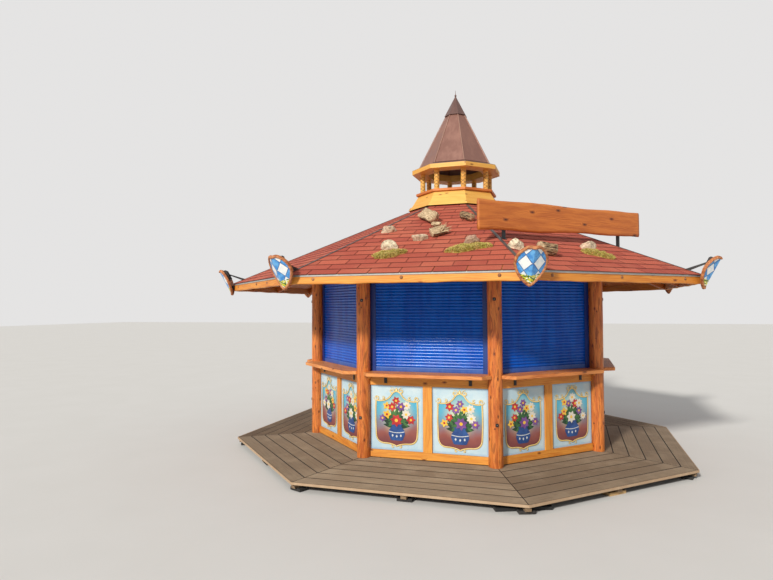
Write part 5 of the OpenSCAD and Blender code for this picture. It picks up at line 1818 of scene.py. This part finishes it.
def bark_log(pile, place, long, thick, seed, split=None, lean=0.0, pale_end=0.0):
    """A log along X that lies on Z = 0. split is the height of the cut as a share of its
    thickness, lean the cut's slant in degrees, pale_end the share of its length that is bare."""
    r0 = thick / 2
    upwards = Vector((0, -math.sin(math.radians(lean)), math.cos(math.radians(lean))))
    rings, grain, wood = [], [], []
    for i in range(BARK_STEPS + 1):
        x = (i / BARK_STEPS - 0.5) * long
        end = min(1.0, min(i, BARK_STEPS - i) / 2.0)
        ring = []
        for j in range(BARK_AROUND):
            a = ROUND * j / BARK_AROUND
            c, s = math.cos(a), math.sin(a)
            r = r0 * (0.985 + 0.05 * noise.noise(Vector((c, s, x * 5 + seed))))
            r -= BARK_DEPTH * furrow(a, x, seed) + (1 - end) * END_ROUND
            p = Vector((x, r * c, r * s + r0))
            is_wood = x < -long / 2 + pale_end * long * (1.0 + 0.5 * math.sin(a * 2 + seed))
            if split is not None:
                above = (p - Vector((x, 0, split * thick))).dot(upwards)
                torn = 0.010 * noise.noise(Vector((x * 5, p.y * 34, seed)))
                torn += 0.005 * noise.noise(Vector((x * 16, p.y * 110, 0)))
                if above > torn:
                    p = p - upwards * (above - torn)
                    is_wood = True
            elif is_wood:
                p = Vector((x, (r0 - BARK_T) * c, (r0 - BARK_T) * s + r0))
            p.z = max(p.z, 0.0005)
            ring.append(tuple(p))
            grain.append((x, r0 * a, 0.0))
            wood.append(is_wood)
        rings.append(ring)
    start, faces = pile.skin(rings, place, grain=grain)
    bare = [k for k, face in enumerate(faces) if len(face) > 4 or sum(wood[i] for i in face) >= 2]
    pile.recoat(start, bare)


logs = Pile(seed=111)
LOG_L, LOG_D = 0.200, 0.130
stump_place = on_roof(0, 0.133, 0.440, 40)
slab_place, chip_place = on_roof(0, -0.089, 0.684, -53), on_roof(0, 0.045, 0.575, -30)
bark_log(logs, slab_place, 1.85 * LOG_L, 1.25 * LOG_D, 1.3, split=0.60, lean=30, pale_end=0.10)
bark_log(logs, chip_place, 0.60 * LOG_L, 0.55 * LOG_D, 2.4, split=0.70, lean=14, pale_end=0.3)
bark_log(logs, stump_place, LOG_L, LOG_D, 4.1, split=0.58, lean=24)
bark_log(logs, on_roof(0, 0.320, 0.665, -48), 1.15 * LOG_L, 0.77 * LOG_D, 6.6)
bark_log(logs, on_roof(1, -0.521, 0.174, -25), LOG_L, LOG_D, 8.9, pale_end=0.16)
print("logs have", len(logs.corners), "corners")

# %% [markdown]
# A torn end could be cut out of the stump's mesh, but single splinters are easier: thin
# tubes that taper to a point and bend a little. The bark is dark in its furrows and pale on
# its ridges, and the bare wood is silver grey with long fibres.

# %% Splinters and finish of the logs
SPLINTERS, SPLINTER_STEPS = 26, 8
splinter_round = [(math.cos(math.pi * m / 4), math.sin(math.pi * m / 4)) for m in range(8)]
draw = logs.chance.uniform
for i in range(SPLINTERS):
    turn = math.radians(draw(-26, 34))
    base = Vector((draw(-0.02, LOG_L / 2 - 0.03), draw(-0.035, 0.035), LOG_D * draw(0.3, 0.55)))
    steep = draw(0.35, 0.9) if i % 2 else draw(-0.12, 0.08)
    way = Vector((math.cos(turn), math.sin(turn), steep)).normalized()
    reach, thick = draw(0.05, 0.13), draw(0.004, 0.012)
    rings = []
    for k in range(SPLINTER_STEPS + 1):
        t = k / SPLINTER_STEPS
        middle = base + way * reach * t + Vector((0, 0, 0.008 * math.sin(3 * t + i)))
        r = thick * (1 - t ** 1.5) + 0.0006
        rings.append([tuple(middle + Vector((0, r * c, 0.6 * r * s))) for c, s in splinter_round])
    logs.skin(rings, stump_place, coat=1)

bark = Recipe("log_bark", 0.92)
spot = bark.on_part()
ridge = bark.noise(spot, (14, 46, 1), 5.0, 0.65)
scale = bark.noise(spot, 55.0, 4.0, 0.6)
skin = bark.cover(paint(64, 48, 34), paint(168, 138, 102), ridge, 0.40, 0.60)
skin = bark.cover(skin, paint(216, 196, 160), scale, 0.55, 0.68, (0.0, 0.75))
bark.colour(bark.cover(skin, paint(92, 84, 56), scale, 0.30, 0.40, (0.4, 0.0)))
bark.bumps((ridge, 5.0), (scale, 2.0))
split_wood = Recipe("split_wood", 0.8)
spot = split_wood.on_part()
fibres = split_wood.noise(spot, (9, 170, 1), 5.0, 0.65)
weather = split_wood.noise(spot, 12.0)
silver = split_wood.cover(paint(122, 92, 62), paint(244, 218, 176), fibres, 0.38, 0.62)
split_wood.colour(split_wood.cover(silver, paint(176, 148, 116), weather, 0.45, 0.65, (0.0, 0.4)))
split_wood.bumps((fibres, 2.0))
log_piece = logs.make("roof_driftwood", [bark.material, split_wood.material], smooth=True)
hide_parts("roof_logs")

# %% [markdown]
# ## The studio
# The hut stands on a plain pale floor under a soft key light from the front left and an even
# pale sky that fills the shadows. The view transform is the standard one, so a colour comes
# out about as it is written. The sky is brighter to the camera and in reflections than it is
# as a light, so the background is pale but adds no more light to the hut.

# %% Floor, light and sky
FLOOR = 60
KEY_HEIGHT, KEY_SIDE, KEY_ANGLE = 29, -15, 6   # degrees
KEY_ENERGY = 3.2
SKY_AS_LIGHT, SKY_AS_SEEN = 0.42, 0.79

floor_mesh = bpy.data.meshes.new("studio_floor")
floor_mesh.from_pydata([(x * FLOOR, y * FLOOR, 0) for x, y in ((-1, -1), (1, -1), (1, 1), (-1, 1))],
                       [], [(0, 1, 2, 3)])
floor_mesh.materials.append(two_tone("floor_paint", 0.9, 1.2, (220, 219, 216), (226, 225, 223)))
studio_floor = put("studio_floor", floor_mesh)
studio_floor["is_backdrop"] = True

key = put("key_light", bpy.data.lights.new("key_light", "SUN"))
key.data.energy = KEY_ENERGY
key.data.angle = math.radians(KEY_ANGLE)
key.data.color = (1.0, 0.965, 0.9)
key.rotation_euler = (math.radians(90 - KEY_HEIGHT), 0, math.radians(KEY_SIDE))

world = bpy.data.worlds.new("pale_sky")
bpy.context.scene.world = world
world.use_nodes = True
sky = Nodes(world.node_tree)
rays = sky.node("LightPath").outputs
seen = sky.calc("MAXIMUM", rays["Is Camera Ray"], rays["Is Glossy Ray"])
level = sky.node("MapRange", Value=seen, To_Min=SKY_AS_LIGHT, To_Max=SKY_AS_SEEN)
backdrop = sky.nodes["Background"].inputs
backdrop["Color"].default_value = (0.99, 0.98, 0.975, 1.0)
sky.feed(level.outputs[0], backdrop["Strength"])
bpy.context.scene.view_settings.view_transform = "Standard"
print("one key light and one sky")

# %% [markdown]
# ## Measure and finish
# Last, the dressed hut is measured and its size is printed. It should come within a few
# millimetres of the CAD sizes, because the pieces made here keep to the CAD solids that they
# stand for.

# %% Measure and finish
low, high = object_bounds()
print("the dressed hut measures", [round(b - a, 3) for a, b in zip(low, high)], "m")
